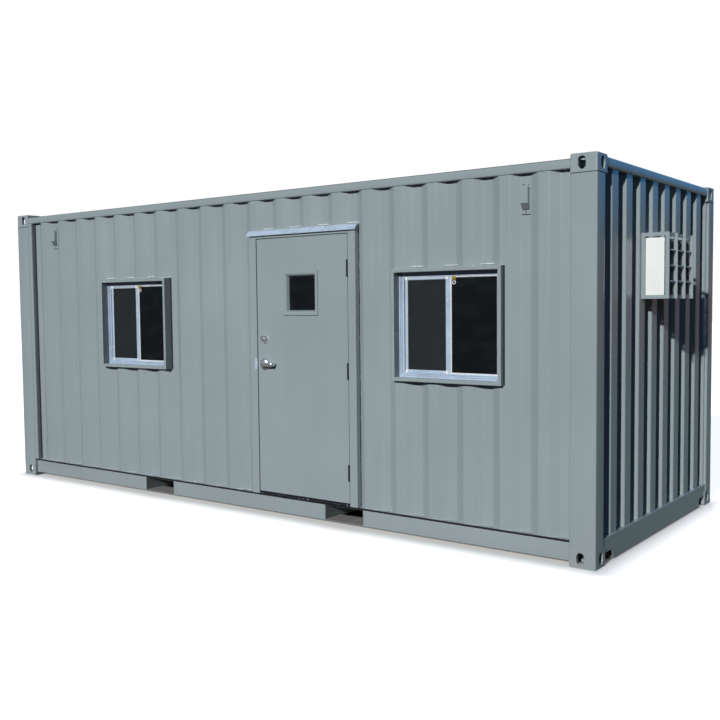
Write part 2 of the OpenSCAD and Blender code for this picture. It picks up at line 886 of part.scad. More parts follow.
// One hinge half around the pin axis: plate on side sx, knuckles k of the five in ks
module hinge_half(sx, ks, bore) {
  edge = hinge_gap / 2;
  x0 = sx > 0 ? edge - plate_t : -edge;
  difference() {
    union() {
      translate([x0, plate_front - pin_y, -hinge_h / 2]) cube([plate_t, plate_d - plate_front + pin_y, hinge_h]);
      for (k = ks) translate([0, 0, k * knuckle_l]) {
        cylinder(r = knuckle_r, h = knuckle_l - 2 * run_gap, center = true);
        translate([x0, 0, -knuckle_l / 2 + run_gap])
          cube([plate_t, plate_front - pin_y + cut, knuckle_l - 2 * run_gap]);
      }
    }
    if (bore > 0) cylinder(r = bore, h = hinge_h + 2 * cut, center = true);
  }
}

module at_hinges() {
  for (z = hinge_zs) translate([pin_x, pin_y, z]) children();
}

module door_side_hinges() {
  color(dark) at_hinges() hinge_half(-1, [-1, 1], pin_r + run_gap);
}

module frame_side_hinges() {
  color(dark) at_hinges() {
    hinge_half(1, [-2, 0, 2], 0);
    cylinder(r = pin_r, h = hinge_h, center = true);
  }
}

// Tapered collar with its key plug, standing on z = 0
module bolt_collar() {
  cylinder(r1 = bolt_r, r2 = bolt_r - bolt_taper, h = bolt_t);
  cylinder(r = plug_r, h = bolt_t + plug_out);
}

module deadbolt() {
  color(bright_metal) translate([latch_x, 0, deadbolt_cz]) rotate([-90, 0, 0]) {
    translate([0, 0, leaf_y]) cylinder(r = barrel_r, h = leaf_t);
    translate([0, 0, leaf_y]) mirror([0, 0, 1]) bolt_collar();
    translate([0, 0, leaf_back]) bolt_collar();
  }
}

// Domed rose standing on z = 0, bored for the spindle
module rose() {
  difference() {
    union() {
      cylinder(r = rose_r, h = rose_rim);
      translate([0, 0, rose_rim]) cylinder(r1 = rose_r, r2 = rose_top_r, h = rose_t - rose_rim);
    }
    translate([0, 0, -cut]) cylinder(r = spindle_r + run_gap, h = rose_t + 2 * cut);
  }
}

module lever_roses() {
  color(bright_metal) translate([latch_x, 0, spindle_z]) rotate([-90, 0, 0]) {
    translate([0, 0, leaf_y]) mirror([0, 0, 1]) rose();
    translate([0, 0, leaf_back]) rose();
  }
}

// Lever handle: half the spindle, a bar towards +X and a tip that returns to the door, which lies at y = 0
module lever_handle() {
  reach = rose_t + lever_stand;
  tip_x = lever_l - lever_h / 2;
  rotate([90, 0, 0]) {
    translate([0, 0, -leaf_t / 2]) cylinder(r = spindle_r, h = leaf_t / 2 + reach + cut);
    translate([tip_x, 0, tip_gap]) cylinder(d = lever_t, h = reach - tip_gap + cut);
    translate([0, 0, reach]) {
      cylinder(d = lever_h, h = lever_t);
      translate([0, -lever_h / 2, 0]) cube([tip_x, lever_h, lever_t]);
      translate([tip_x, 0, 0]) cylinder(d = lever_h, h = lever_t);
    }
  }
}

module door_lever() {
  color(bright_metal) translate([latch_x, 0, spindle_z]) {
    translate([0, leaf_y, 0]) lever_handle();
    translate([0, leaf_back, 0]) mirror([0, 1, 0]) lever_handle();
  }
}

module strike_plate() {
  color(bright_metal) translate([opening_left - strike_w, frame_y - cap_t, spindle_z - strike_h / 2])
    cube([strike_w, cap_t, strike_h]);
}

module ac_casing() {
  casing_l = ac_out + ac_in;
  color(white) translate([half_l - ac_in, ac_y0, ac_z]) difference() {
    cube([casing_l, ac_w, ac_h]);
    translate([ac_in, ac_t, ac_t]) cube([ac_out + cut, ac_w - 2 * ac_t, ac_h - 2 * ac_t]);
  }
}

module ac_coil() {
  color(dark) translate([half_l, ac_y0 + ac_t, ac_z + ac_t])
    cube([ac_out - 2 * ac_t, ac_w - 2 * ac_t, ac_h - 2 * ac_t]);
}

// Guard cage: upright bars on edge at the wall and the front, bands round top and bottom, cross rods
module ac_guard_cage() {
  depth = cage_out + end_inset;
  front = depth - bar_w;
  columns = 3;
  rows = 4;
  bar_step = (cage_w - bar_t) / columns;
  rod_step = (cage_h - band_h) / rows;
  color(paint) translate([end_face, cage_y0, cage_z]) {
    for (y = [0, cage_w - bar_t]) translate([0, y, 0]) cube([bar_w, bar_t, cage_h]);
    for (k = [0:columns]) translate([front, k * bar_step, 0]) cube([bar_w, bar_t, cage_h]);
    for (z = [0, cage_h - band_h]) {
      for (y = [0, cage_w - bar_t]) translate([0, y, z]) cube([depth, bar_t, band_h]);
      translate([front, 0, z]) cube([bar_t, cage_w, band_h]);
    }
    for (k = [1:rows - 1]) translate([front + rod_d, 0, band_h / 2 + k * rod_step])
      rotate([-90, 0, 0]) cylinder(d = rod_d, h = cage_w);
  }
}

// Plate and a cover with closed top, front and sides, open along its slanted underside
module vent() {
  low = -hood_h - hood_slant;
  translate([-vent_w / 2, -vent_t, -vent_h]) cube([vent_w, vent_t, vent_h]);
  translate([0, 0, -hood_drop]) difference() {
    rotate([90, 0, 90]) linear_extrude(hood_w, center = true)
      polygon([[0, 0], [-hood_d, 0], [-hood_d, -hood_h], [0, low]]);
    translate([-hood_w / 2 + vent_t, -hood_d + vent_t, low - cut])
      cube([hood_w - 2 * vent_t, hood_d - 2 * vent_t, cut - low - vent_t]);
  }
}

module wall_vents() {
  color(paint) for (s = [-1, 1])
    translate([wall_cx + s * vent_step * side_pitch, vent_y, vent_top]) vent();
}

bottom_corner_castings();
top_corner_castings();
corner_posts();
top_side_rails();
bottom_side_rails();
end_headers();
end_sills();
fork_pockets();
floor_cross_members();
plywood_floor();
roof_panel();
back_wall();
left_end_wall();
right_end_wall_front();
right_end_wall_back();
right_end_wall_below_ac();
right_end_wall_above_ac();
front_wall_left();
front_wall_below_windows();
front_wall_above_windows();
front_wall_left_of_door();
front_wall_above_door();
front_wall_right_of_door();
front_wall_right();
window_surrounds();
window_frames();
window_screens();
window_glass();
door_jambs();
door_head();
door_threshold();
drip_cap();
door_leaf();
vision_panel_trim();
vision_panel_glass();
door_side_hinges();
frame_side_hinges();
deadbolt();
lever_roses();
door_lever();
strike_plate();
ac_casing();
ac_coil();
ac_guard_cage();
wall_vents();
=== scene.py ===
"""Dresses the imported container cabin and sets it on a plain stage.

The frame is loaded first. Places come from it, and what a user would change is in the panel's settings.
Metres, +Z up, the door side faces -Y.
"""

import json
import math

import bmesh
import bpy
from bpy.props import FloatProperty, FloatVectorProperty, IntProperty, PointerProperty
from mathutils import Matrix, Vector


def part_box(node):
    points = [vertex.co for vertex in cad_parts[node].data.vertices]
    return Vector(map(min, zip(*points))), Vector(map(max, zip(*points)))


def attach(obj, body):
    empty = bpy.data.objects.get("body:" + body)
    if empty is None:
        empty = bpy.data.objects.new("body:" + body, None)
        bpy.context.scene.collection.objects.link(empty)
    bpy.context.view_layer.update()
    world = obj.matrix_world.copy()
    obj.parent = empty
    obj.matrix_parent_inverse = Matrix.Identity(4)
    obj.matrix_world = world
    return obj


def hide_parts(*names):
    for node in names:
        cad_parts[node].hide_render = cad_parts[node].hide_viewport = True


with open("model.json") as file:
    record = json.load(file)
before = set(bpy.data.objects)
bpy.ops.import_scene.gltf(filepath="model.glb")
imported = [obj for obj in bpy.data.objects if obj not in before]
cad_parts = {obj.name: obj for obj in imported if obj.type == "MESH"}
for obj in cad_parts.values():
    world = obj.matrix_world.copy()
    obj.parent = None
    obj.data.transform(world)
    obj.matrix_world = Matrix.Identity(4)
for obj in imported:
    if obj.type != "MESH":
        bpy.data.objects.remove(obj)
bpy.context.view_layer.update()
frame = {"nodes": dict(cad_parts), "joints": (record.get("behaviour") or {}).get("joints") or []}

bl_info = {
    "name": "Container Cabin",
    "version": (1, 0, 0),
    "blender": (4, 5, 0),
    "location": "View3D > Sidebar > Cabin",
    "description": "Dresses a shipping container cabin around its packed frame",
    "category": "Object",
}

MERGE = 1e-5
FLAT = math.radians(0.5)
SHARP = math.radians(32)
BEVEL_FROM = math.radians(35)
FINE_EDGE = 0.0006
BLACK = (0.0, 0.0, 0.0)
WHITE = (1.0, 1.0, 1.0)
SEED = 7

# Places read from the frame
FRONT_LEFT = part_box("front_wall_left")
FRONT_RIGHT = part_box("front_wall_right")
LEFT_OF_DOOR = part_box("front_wall_left_of_door")
RIGHT_OF_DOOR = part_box("front_wall_right_of_door")
OVER_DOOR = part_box("front_wall_above_door")
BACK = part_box("back_wall")
RIGHT_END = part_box("right_end_wall_front")
LEFT_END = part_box("left_end_wall")
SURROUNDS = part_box("window_surrounds")
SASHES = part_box("window_frames")
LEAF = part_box("door_leaf")
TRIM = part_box("vision_panel_trim")
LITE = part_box("vision_panel_glass")
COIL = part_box("ac_coil")
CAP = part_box("drip_cap")
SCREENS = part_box("window_screens")
TOP_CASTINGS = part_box("top_corner_castings")
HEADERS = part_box("end_headers")
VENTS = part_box("wall_vents")
WINDOW_SPANS = ((FRONT_LEFT[1].x, LEFT_OF_DOOR[0].x), (RIGHT_OF_DOOR[1].x, FRONT_RIGHT[0].x))
SURROUND_EDGE = SASHES[0].x - SURROUNDS[0].x
BOX_MIDDLE = Vector((0.0, 0.0, TOP_CASTINGS[1].z / 2))
WALL_MIDDLE = (BACK[0].x + BACK[1].x) / 2
RAIL_TOP = BACK[0].z
LEVER_JOINT = next(j for j in frame["joints"] if j["name"] == "lever_spindle")
SPINDLE = Vector(LEVER_JOINT["pos_m"])


# Settings

def length(name, default, description):
    return FloatProperty(name=name, description=description, default=default, min=0.0, precision=4,
                         unit="LENGTH")


def number(name, default, description, low=0.0):
    return FloatProperty(name=name, description=description, default=default, min=low)


def angle(name, degrees, description):
    return FloatProperty(name=name, description=description, default=math.radians(degrees), subtype="ANGLE")


def colour(name, default, description):
    return FloatVectorProperty(name=name, description=description, default=default, size=3, min=0.0,
                               max=1.0, subtype="COLOR")


class CabinSteel(bpy.types.PropertyGroup):
    """Sizes of the folded and welded steel."""

    side_pitch: length("Side pitch", 0.278, "Distance between recesses of the long walls")
    side_flat: length("Side recess", 0.070, "Width of a recess floor in the long walls")
    side_slope: length("Side slope", 0.068, "Run of a slope in the long walls")
    side_bend: length("Side bend", 0.011, "Half the length of a bend in the long walls")
    end_pitch: length("End pitch", 0.250, "Distance between recesses of the end walls")
    end_flat: length("End recess", 0.104, "Width of a recess floor in the end walls")
    end_slope: length("End slope", 0.018, "Run of a slope in the end walls")
    end_bend: length("End bend", 0.008, "Half the length of a bend in the end walls")
    sheet: length("Sheet", 0.002, "Thickness of the wall sheets")
    fold_step: length("Fold step", 0.004, "Distance between points along a corrugation")
    joint: length("Joint", 0.004, "Height of the dark joint under a top casting")
    tube_round: length("Tube corner", 0.009, "Outer corner radius of posts, rails and headers")
    plate_round: length("Plate edge", 0.0015, "Rounding of plate edges under the paint")
    cast_round: length("Casting edge", 0.013, "Rounding of the casting's long edges")
    bead: length("Weld bead", 0.0030, "Radius of a weld bead")
    caulk: length("Caulk bead", 0.0050, "Radius of a caulk bead")
    caulk_lift: length("Caulk lift", 0.014, "Height of the caulk over what it seals")
    bead_step: length("Bead step", 0.007, "Distance between rings of a bead")


class CabinFittings(bpy.types.PropertyGroup):
    """Sizes of windows, door ironwork and cooler."""

    wire_pitch: length("Wire pitch", 0.0026, "Distance between wires of the insect screen")
    wire: length("Wire", 0.0007, "Thickness of an insect screen wire")
    gasket: length("Gasket", 0.004, "Width of the black glazing gasket")
    screw: length("Screw head", 0.0045, "Radius of a screw head")
    catch: length("Window catch", 0.028, "Width of the brass catch on a right sash")
    rose_rise: length("Rose rise", 0.024, "Height of a rose's dome over the door")
    lever_high: length("Lever height", 0.036, "Height of the lever's section")
    lever_thick: length("Lever thickness", 0.013, "Thickness of the lever's section")
    lever_stem: length("Lever stem", 0.022, "Diameter of the lever where it leaves the rose")
    lever_bend: length("Lever bend", 0.016, "Radius of the lever's two bends")
    lever_gap: length("Lever gap", 0.014, "Distance from the lever's tip to the door")
    bolt_plug: length("Bolt plug", 0.030, "Diameter of the deadbolt's key plug")
    fin_pitch: length("Fin pitch", 0.0055, "Distance between the cooler's fins")
    fin: length("Fin", 0.0009, "Thickness of a cooler fin")
    turned_steps: IntProperty(name="Turned steps", description="Sides of a turned part", default=40, min=8)


class CabinFinish(bpy.types.PropertyGroup):
    """Colours, as light values."""

    paint: colour("Paint", (0.300, 0.356, 0.364), "Blue grey paint of the walls and the door")
    frame_paint: colour("Frame paint", (0.300, 0.356, 0.364), "Blue grey paint of the steel frame")
    dust: colour("Dust", (0.36, 0.35, 0.33), "Dust that settles low on the paint")
    rust: colour("Rust", (0.085, 0.042, 0.024), "Rust in chips and at edges")
    # Its blue cast is a painted reflection of the sky.
    aluminium: colour("Aluminium", (0.54, 0.65, 0.77), "Window frames and drip cap")
    bright: colour("Bright beads", (0.86, 0.88, 0.90), "Glazing beads and screen corners")
    # Its whiteness partly stands for sun glints on the sealant, as painted highlight; the weld beads' bright
    # specks also take it.
    caulk: colour("Caulk", (0.66, 0.69, 0.70), "Sealant over windows and door")
    chrome: colour("Chrome", (0.78, 0.80, 0.82), "Lever and deadbolt")
    hinge: colour("Hinge steel", (0.020, 0.026, 0.030), "Dark hinges of the door")
    # Near black so that the glass stands for the dark room behind it, as painted shade.
    glass: colour("Glass", (0.007, 0.009, 0.010), "Window and vision panel glass")
    wire: colour("Wire", (0.024, 0.031, 0.033), "Insect screen wire")
    casing: colour("Casing", (0.86, 0.87, 0.84), "White casing of the cooler")
    # This black also colours the strips of painted shade and shadow: under the rail flanges and vents, along
    # right-hand sides and in the key slot.
    rubber_and_painted_shadow: colour("Rubber", (0.008, 0.008, 0.009), "Gaskets and door sweep")
    brass: colour("Brass", (0.72, 0.46, 0.10), "Window latches")
    ply: colour("Plywood", (0.38, 0.25, 0.14), "Plywood floor")
    floor: colour("Stage floor", (0.90, 0.88, 0.84), "Pale floor of the stage")


class CabinStage(bpy.types.PropertyGroup):
    """Camera and light."""

    place: FloatVectorProperty(name="Camera place", description="Where the camera stands",
                               default=(5.2412, -6.6220, 1.6721), size=3, subtype="TRANSLATION")
    turn: angle("Camera turn", 36.678, "Camera's turn round the cabin from the door side")
    drop: angle("Camera drop", 3.419, "How far the camera looks down")
    roll: angle("Camera roll", -0.58, "Camera's lean")
    lens: number("Lens", 46.123, "Focal length in millimetres", 1.0)
    sun_turn: angle("Sun turn", 9.5, "Sun's turn round the cabin from the door side")
    sun_height: angle("Sun height", 22.4, "Sun's height over the horizon")
    sun_size: angle("Sun size", 1.6, "Angle that the lamp fills, which softens the shadows")
    sun: number("Sun", 3.2, "Strength of the lamp at the door side")
    fill: number("Fill", 1.1, "Strength of the lamp behind the cabin")
    sky_high: colour("High sky", (0.030, 0.080, 0.165), "Light from overhead")
    sky_low: colour("Low sky", (0.035, 0.052, 0.075), "Light from just over the horizon")
    ground: colour("Ground light", (0.034, 0.030, 0.027), "Light from below the horizon")
    back_sky: colour("Back sky", (0.050, 0.420, 1.000), "Sky that shows in the paint at a low angle")
    back_haze: colour("Back haze", (0.150, 0.180, 0.210), "Horizon that shows in the paint at a low angle")
    back_earth: colour("Back earth", (0.280, 0.190, 0.205), "Bank that shows in the paint at a low angle")
    back_gravel: colour("Back gravel", (0.180, 0.270, 0.250), "Ground that shows in the paint at a low angle")
    backdrop: number("Backdrop", 1.0, "Brightness of the backdrop")
    floor_glow: number("Floor glow", 0.70, "Brightness of the floor's own light")
    contact: length("Contact shade", 0.15, "Width of the soft shade that the cabin leaves on the floor")
    reach: length("Stage reach", 70.0, "Radius of the backdrop")


def steel():
    return bpy.context.scene.cabin_steel


def fittings():
    return bpy.context.scene.cabin_fittings


def finish():
    return bpy.context.scene.cabin_finish


def stage():
    return bpy.context.scene.cabin_stage


# Node trees

class Value:
    """A node output that takes part in Python sums."""

    def __init__(self, graph, socket):
        self.graph = graph
        self.socket = socket

    def __add__(self, other):
        return self.graph.sum("ADD", self, other)

    def __radd__(self, other):
        return self.graph.sum("ADD", other, self)

    def __sub__(self, other):
        return self.graph.sum("SUBTRACT", self, other)

    def __rsub__(self, other):
        return self.graph.sum("SUBTRACT", other, self)

    def __mul__(self, other):
        return self.graph.sum("MULTIPLY", self, other)

    def __rmul__(self, other):
        return self.graph.sum("MULTIPLY", other, self)

    def __truediv__(self, other):
        return self.graph.sum("DIVIDE", self, other)


class Graph:
    """A node tree, with one method that adds any node."""

    def __init__(self, tree):
        self.tree = tree
        tree.nodes.clear()

    def node(self, kind, settings=None, sockets=None):
        made = self.tree.nodes.new(kind)
        for key, value in (settings or {}).items():
            if key == "stops":
                self.set_stops(made.color_ramp, value)
            else:
                setattr(made, key, value)
        for key, value in (sockets or {}).items():
            self.join(value, made.inputs[key])
        return made

    def add(self, kind, settings=None, sockets=None, out=0):
        return Value(self, self.node(kind, settings, sockets).outputs[out])

    def join(self, value, socket):
        if isinstance(value, Value):
            self.tree.links.new(value.socket, socket)
        elif socket.type == "RGBA" and len(value) == 3:
            socket.default_value = (*value, 1.0)
        else:
            socket.default_value = value

    def sum(self, operation, *values):
        return self.add("ShaderNodeMath", {"operation": operation}, dict(enumerate(values)))

    def limit(self, value):
        """The value kept between 0 and 1."""
        return self.sum("MINIMUM", self.sum("MAXIMUM", value, 0.0), 1.0)

    def mix(self, factor, first, second):
        return self.add("ShaderNodeMix", {"data_type": "RGBA"}, {0: factor, 6: first, 7: second}, out=2)

    @staticmethod
    def set_stops(ramp, stops):
        while len(ramp.elements) < len(stops):
            ramp.elements.new(1.0)
        for element, (place, level) in zip(ramp.elements, stops):
            element.position = place
            element.color = (*level, 1.0) if isinstance(level, tuple) else (level, level, level, 1.0)


class Finish(Graph):
    """A material with one Principled shader, patterned on Object coordinates."""

    def __init__(self, name, **constants):
        self.material = bpy.data.materials.new(name)
        self.material.use_nodes = True
        super().__init__(self.material.node_tree)
        self.shader = self.node("ShaderNodeBsdfPrincipled")
        output = self.node("ShaderNodeOutputMaterial")
        self.tree.links.new(self.shader.outputs[0], output.inputs[0])
        self.place = self.add("ShaderNodeTexCoord", out="Object")
        for key, value in constants.items():
            self.feed(key.replace("_", " ").title().replace("Ior", "IOR"), value)

    def feed(self, socket, value):
        self.join(value, self.shader.inputs[socket])

    def stretched(self, scale):
        return self.add("ShaderNodeMapping", None, {"Vector": self.place, "Scale": scale})

    def noise(self, scale, detail=2.0, stretch=None):
        place = self.stretched(stretch) if stretch else self.place
        sockets = {"Vector": place, "Scale": scale, "Detail": detail}
        return self.add("ShaderNodeTexNoise", None, sockets)

    def step(self, value, low, high):
        """0 below low, 1 above high."""
        stops = ((low, 0.0), (high, 1.0))
        return self.add("ShaderNodeValToRGB", {"stops": stops}, {"Fac": value})

    def axis(self, index):
        return self.add("ShaderNodeSeparateXYZ", None, {"Vector": self.place}, out=index)

    def facing(self, index):
        normal = self.add("ShaderNodeTexCoord", out="Normal")
        return self.add("ShaderNodeSeparateXYZ", None, {"Vector": normal}, out=index)

    def bump(self, height, distance, strength=1.0):
        sockets = {"Height": height, "Distance": distance, "Strength": strength}
        self.feed("Normal", self.add("ShaderNodeBump", None, sockets))


def scaled(tint, factor):
    return tuple(min(1.0, c * factor) for c in tint)


# Finishes

def low_mask(f, top):
    """1 at the ground, 0 at top and above."""
    return 1.0 - f.limit(f.axis(2) / top)


def paint_layers(name, tint, roughness, dusty, chips, grain_scale, grain_depth, sides=1.0):
    """Blue grey paint: broad tone changes, faint streaks, dust low down, small chips, and painted shade on
    faces that look along X when sides is below 1.
    """
    f = Finish(name)
    cloud = f.noise(1.1, 3.0)
    streak = f.noise(16.0, 3.0, (1.0, 1.0, 0.05))
    tone = f.mix(f.step(cloud, 0.30, 0.70), scaled(tint, 0.96), scaled(tint, 1.04))
    tone = f.mix(f.step(streak, 0.45, 0.85) * 0.12, tone, scaled(tint, 0.74))
    settle = low_mask(f, 0.45) * f.step(f.noise(6.0, 4.0), 0.30, 0.75) * dusty
    tone = f.mix(settle, tone, finish().dust)
    # Painted shade: faces that look along X are darkened towards black, keeping the share sides of their
    # tone.
    if sides < 1.0:
        shaded_side_mask = f.step(f.sum("ABSOLUTE", f.facing(0)), 0.4, 0.7)
        tone = f.mix(shaded_side_mask * (1.0 - sides), tone, BLACK)
    flake = f.step(f.noise(60.0, 3.0), 1.0 - chips, 1.02 - chips) * f.step(f.noise(2.3), 0.56, 0.62)
    f.feed("Base Color", f.mix(flake, tone, finish().rust))
    f.feed("Roughness", roughness + 0.12 * cloud + 0.25 * settle + 0.3 * flake)
    f.bump(f.noise(2.4) + grain_depth * f.noise(grain_scale), 0.003)
    return f.material


def make_paint():
    """Gloss enamel of the walls and the door."""
    return paint_layers("container_paint", finish().paint, roughness=0.13, dusty=0.20, chips=0.262,
                        grain_scale=320.0, grain_depth=0.02)


def make_frame_paint():
    """Gloss enamel of the steel frame."""
    return paint_layers("frame_paint", finish().frame_paint, roughness=0.13, dusty=0.26, chips=0.268,
                        grain_scale=260.0, grain_depth=0.03)


def make_paint_with_shaded_sides():
    """Frame paint with painted shade that darkens the faces that look along X."""
    return paint_layers("side_paint", finish().frame_paint, roughness=0.20, dusty=0.20, chips=0.262,
                        grain_scale=260.0, grain_depth=0.03, sides=0.48)


def make_cast_paint():
    """Paint over the rough skin of a casting."""
    return paint_layers("cast_paint", finish().frame_paint, roughness=0.24, dusty=0.40, chips=0.285,
                        grain_scale=130.0, grain_depth=0.16)


def make_worn_plate_with_shaded_sides():
    """Plate that forks scrape: paint at half its tone on the sides as painted shade, pale dust and scratches
    on what faces up.
    """
    f = Finish("worn_plate")
    up = f.limit(f.facing(2))
    scrape = f.noise(30.0, 4.0, (1.0, 0.08, 1.0))
    pale = f.mix(f.step(scrape, 0.35, 0.70), scaled(finish().dust, 0.7), finish().dust)
    # Faces that do not look up get the paint at half its tone, as painted shade.
    f.feed("Base Color", f.mix(up, scaled(finish().frame_paint, 0.5), pale))
    f.feed("Roughness", 0.40 + 0.35 * scrape)
    f.bump(scrape, 0.001)
    return f.material


def make_bead_paint():
    """Glossier paint over welds, with a rippled surface and bright specks."""
    f = Finish("bead_paint", specular_ior_level=0.6)
    lump = f.noise(120.0, 2.0)
    speck = f.step(f.noise(26.0, 2.0), 0.64, 0.70)
    tone = f.mix(f.step(lump, 0.4, 0.7), finish().frame_paint, scaled(finish().paint, 1.2))
    f.feed("Base Color", f.mix(speck, tone, finish().caulk))
    f.feed("Roughness", 0.20 + 0.2 * lump)
    f.bump(lump, 0.002)
    return f.material


def mottled(name, tones, noise, stops, rough, deep=0.0, wave=None, **constants):
    """Two tones that follow one noise, which also changes the roughness.

    noise holds its scale, detail and stretch, and rough the least roughness and what the noise adds.
    deep is the depth of that noise as a bump. wave holds the scale and depth of a bump of its own.
    """
    f = Finish(name, **constants)
    spots = f.noise(*noise)
    share = f.step(spots, *stops) if stops else spots
    f.feed("Base Color", f.mix(share, *tones))
    f.feed("Roughness", rough[0] + rough[1] * spots)
    if deep:
        f.bump(spots, deep)
    if wave:
        f.bump(f.noise(wave[0]), wave[1])
    return f.material


def make_caulk():
    """Smeared sealant, mottled between a light paint tone and white; the light tones partly stand for sun
    glints on it, as painted highlight.
    """
    tones = (scaled(finish().paint, 1.3), finish().caulk)
    return mottled("caulk", tones, (55.0, 3.0), (0.30, 0.55), (0.25, 0.3), 0.002, specular_ior_level=0.6)


def make_aluminium():
    """Mill finish with a blue cast that is a painted sky reflection: drawn along its length, dulled in
    patches, with bright specks as painted glints.
    """
    f = Finish("window_aluminium", metallic=0.35)
    drawn = f.noise(60.0, 3.0, (1.0, 1.0, 14.0))
    dull = f.noise(7.0, 3.0)
    painted_glint = f.step(f.noise(48.0, 2.0), 0.66, 0.72)
    tone = f.mix(f.step(dull, 0.35, 0.7), scaled(finish().aluminium, 1.08), scaled(finish().aluminium, 0.88))
    f.feed("Base Color", f.mix(painted_glint, tone, finish().bright))
    f.feed("Roughness", 0.38 + 0.14 * drawn + 0.12 * dull)
    f.bump(drawn, 0.0006)
    return f.material


def make_bright():
    """Clean white anodised beads and plastic corners."""
    tones = (finish().bright, scaled(finish().bright, 0.86))
    return mottled("bright_bead", tones, (14.0, 3.0), (0.40, 0.75), (0.30, 0.2))


def make_mill():
    """Bent aluminium strip with the same painted sky-blue cast, stains, and bright specks as painted glints.
    """
    f = Finish("mill_aluminium", metallic=0.30)
    stain = f.step(f.noise(11.0, 4.0), 0.42, 0.72)
    painted_glint = f.step(f.noise(38.0, 2.0), 0.62, 0.70)
    tone = f.mix(stain, scaled(finish().aluminium, 1.10), scaled(finish().aluminium, 0.82))
    f.feed("Base Color", f.mix(painted_glint, tone, finish().bright))
    f.feed("Roughness", 0.34 + 0.25 * stain)
    f.bump(f.noise(45.0, 3.0), 0.0012)
    return f.material


def make_tread_with_painted_shade_and_glints():
    """Threshold metal, dark with grime and painted shade under the leaf, and streaked bright with painted
    reflections.
    """
    # The dark tone is grime and painted shade; the bright streaks are painted reflections.
    tones = ((0.020, 0.024, 0.026), scaled(finish().aluminium, 0.42))
    streak = (46.0, 3.0, (1.0, 3.0, 2.2))
    return mottled("tread", tones, streak, (0.56, 0.72), (0.40, 0.3), 0.002, metallic=0.4)


def make_chrome():
    """Satin chrome, smeared by hands."""
    tones = (finish().chrome, scaled(finish().chrome, 0.88))
    return mottled("chrome", tones, (30.0, 3.0), (0.4, 0.8), (0.20, 0.18), wave=(18.0, 0.0006),
                   metallic=0.80)


def make_hinge():
    """Dark hinge steel with patches of paint left on it."""
    tones = (finish().hinge, scaled(finish().frame_paint, 0.7))
    return mottled("hinge_steel", tones, (65.0, 3.0), (0.60, 0.80), (0.45, 0.2), metallic=0.5)


def make_glass():
    """Near black, nearly opaque glass that shows the dark room behind it as painted shade, with faint wiping
    marks.
    """
    tones = (finish().glass, scaled(finish().glass, 1.9))
    wipe = (5.0, 4.0, (1.0, 1.0, 2.6))
    return mottled("window_glass", tones, wipe, (0.45, 0.8), (0.03, 0.06), wave=(1.6, 0.0008), alpha=0.90,
                   ior=1.5)


def make_wire():
    """Dull dark wire of the insect screens."""
    f = Finish("insect_mesh")
    f.feed("Base Color", f.mix(f.noise(20.0, 3.0), finish().wire, scaled(finish().wire, 1.3)))
    f.feed("Roughness", 0.65 + 0.2 * f.noise(50.0))
    return f.material


def make_casing():
    """Baked white enamel with faint yellow streaks."""
    f = Finish("white_casing")
    grime = f.step(f.noise(9.0, 4.0, (1.0, 1.0, 0.3)), 0.50, 0.85)
    f.feed("Base Color", f.mix(grime * 0.3, finish().casing, (0.55, 0.53, 0.47)))
    f.feed("Roughness", 0.34 + 0.2 * grime)
    f.bump(f.noise(420.0), 0.0004)
    return f.material


def make_coil():
    """Aluminium fins with dirt between them."""
    tones = ((0.34, 0.36, 0.38), (0.10, 0.105, 0.11))
    return mottled("coil_fins", tones, (40.0, 4.0), (0.35, 0.7), (0.30, 0.3), metallic=0.85)


def make_rubber_and_painted_shadow():
    """Black gaskets and sealant with a fine grain; also the black of the strips of painted shade and shadow.
    """
    tones = (finish().rubber_and_painted_shadow, scaled(finish().rubber_and_painted_shadow, 2.6))
    return mottled("black_rubber", tones, (90.0, 3.0), None, (0.55, 0.3))


def make_brass():
    """Brass with dull patches."""
    tones = (finish().brass, scaled(finish().brass, 0.55))
    return mottled("latch_brass", tones, (60.0, 3.0), (0.4, 0.75), (0.25, 0.25), metallic=0.6)


def make_plywood():
    """Sealed ply: long grain, darker knots of wear."""
    f = Finish("plywood")
    grain = f.noise(24.0, 5.0, (0.12, 3.0, 1.0))
    worn = f.step(f.noise(3.0, 4.0), 0.45, 0.75)
    board = f.mix(grain, scaled(finish().ply, 0.62), scaled(finish().ply, 1.25))
    f.feed("Base Color", f.mix(worn * 0.5, board, scaled(finish().ply, 0.5)))
    f.feed("Roughness", 0.50 + 0.25 * grain)
    f.bump(grain, 0.0012)
    return f.material


MAKERS = {
    "paint": make_paint, "frame_paint": make_frame_paint, "side_paint": make_paint_with_shaded_sides,
    "cast_paint": make_cast_paint, "worn_plate": make_worn_plate_with_shaded_sides, "bead_paint": make_bead_paint,
    "caulk": make_caulk, "aluminium": make_aluminium, "bright": make_bright, "mill": make_mill,
    "tread": make_tread_with_painted_shade_and_glints, "chrome": make_chrome, "hinge": make_hinge, "glass": make_glass,
    "wire": make_wire, "casing": make_casing, "coil": make_coil, "rubber_and_painted_shadow": make_rubber_and_painted_shadow,
    "brass": make_brass, "plywood": make_plywood,
}
PAINTED = ("paint", "frame_paint", "side_paint", "cast_paint", "worn_plate", "bead_paint")
SLOTS = {
    **dict.fromkeys(PAINTED, "container_paint"), "hinge": "hinge_steel", "aluminium": "window_aluminium",
    "bright": "window_aluminium", "mill": "mill_aluminium", "tread": "mill_aluminium",
    "chrome": "chrome", "glass": "window_glass", "wire": "insect_mesh", "casing": "white_casing",
    "coil": "coil_fins", "plywood": "plywood",
}
MADE = {}


def material(finish_name):
    if finish_name not in MADE:
        MADE[finish_name] = MAKERS[finish_name]()
    return MADE[finish_name]


# Meshes

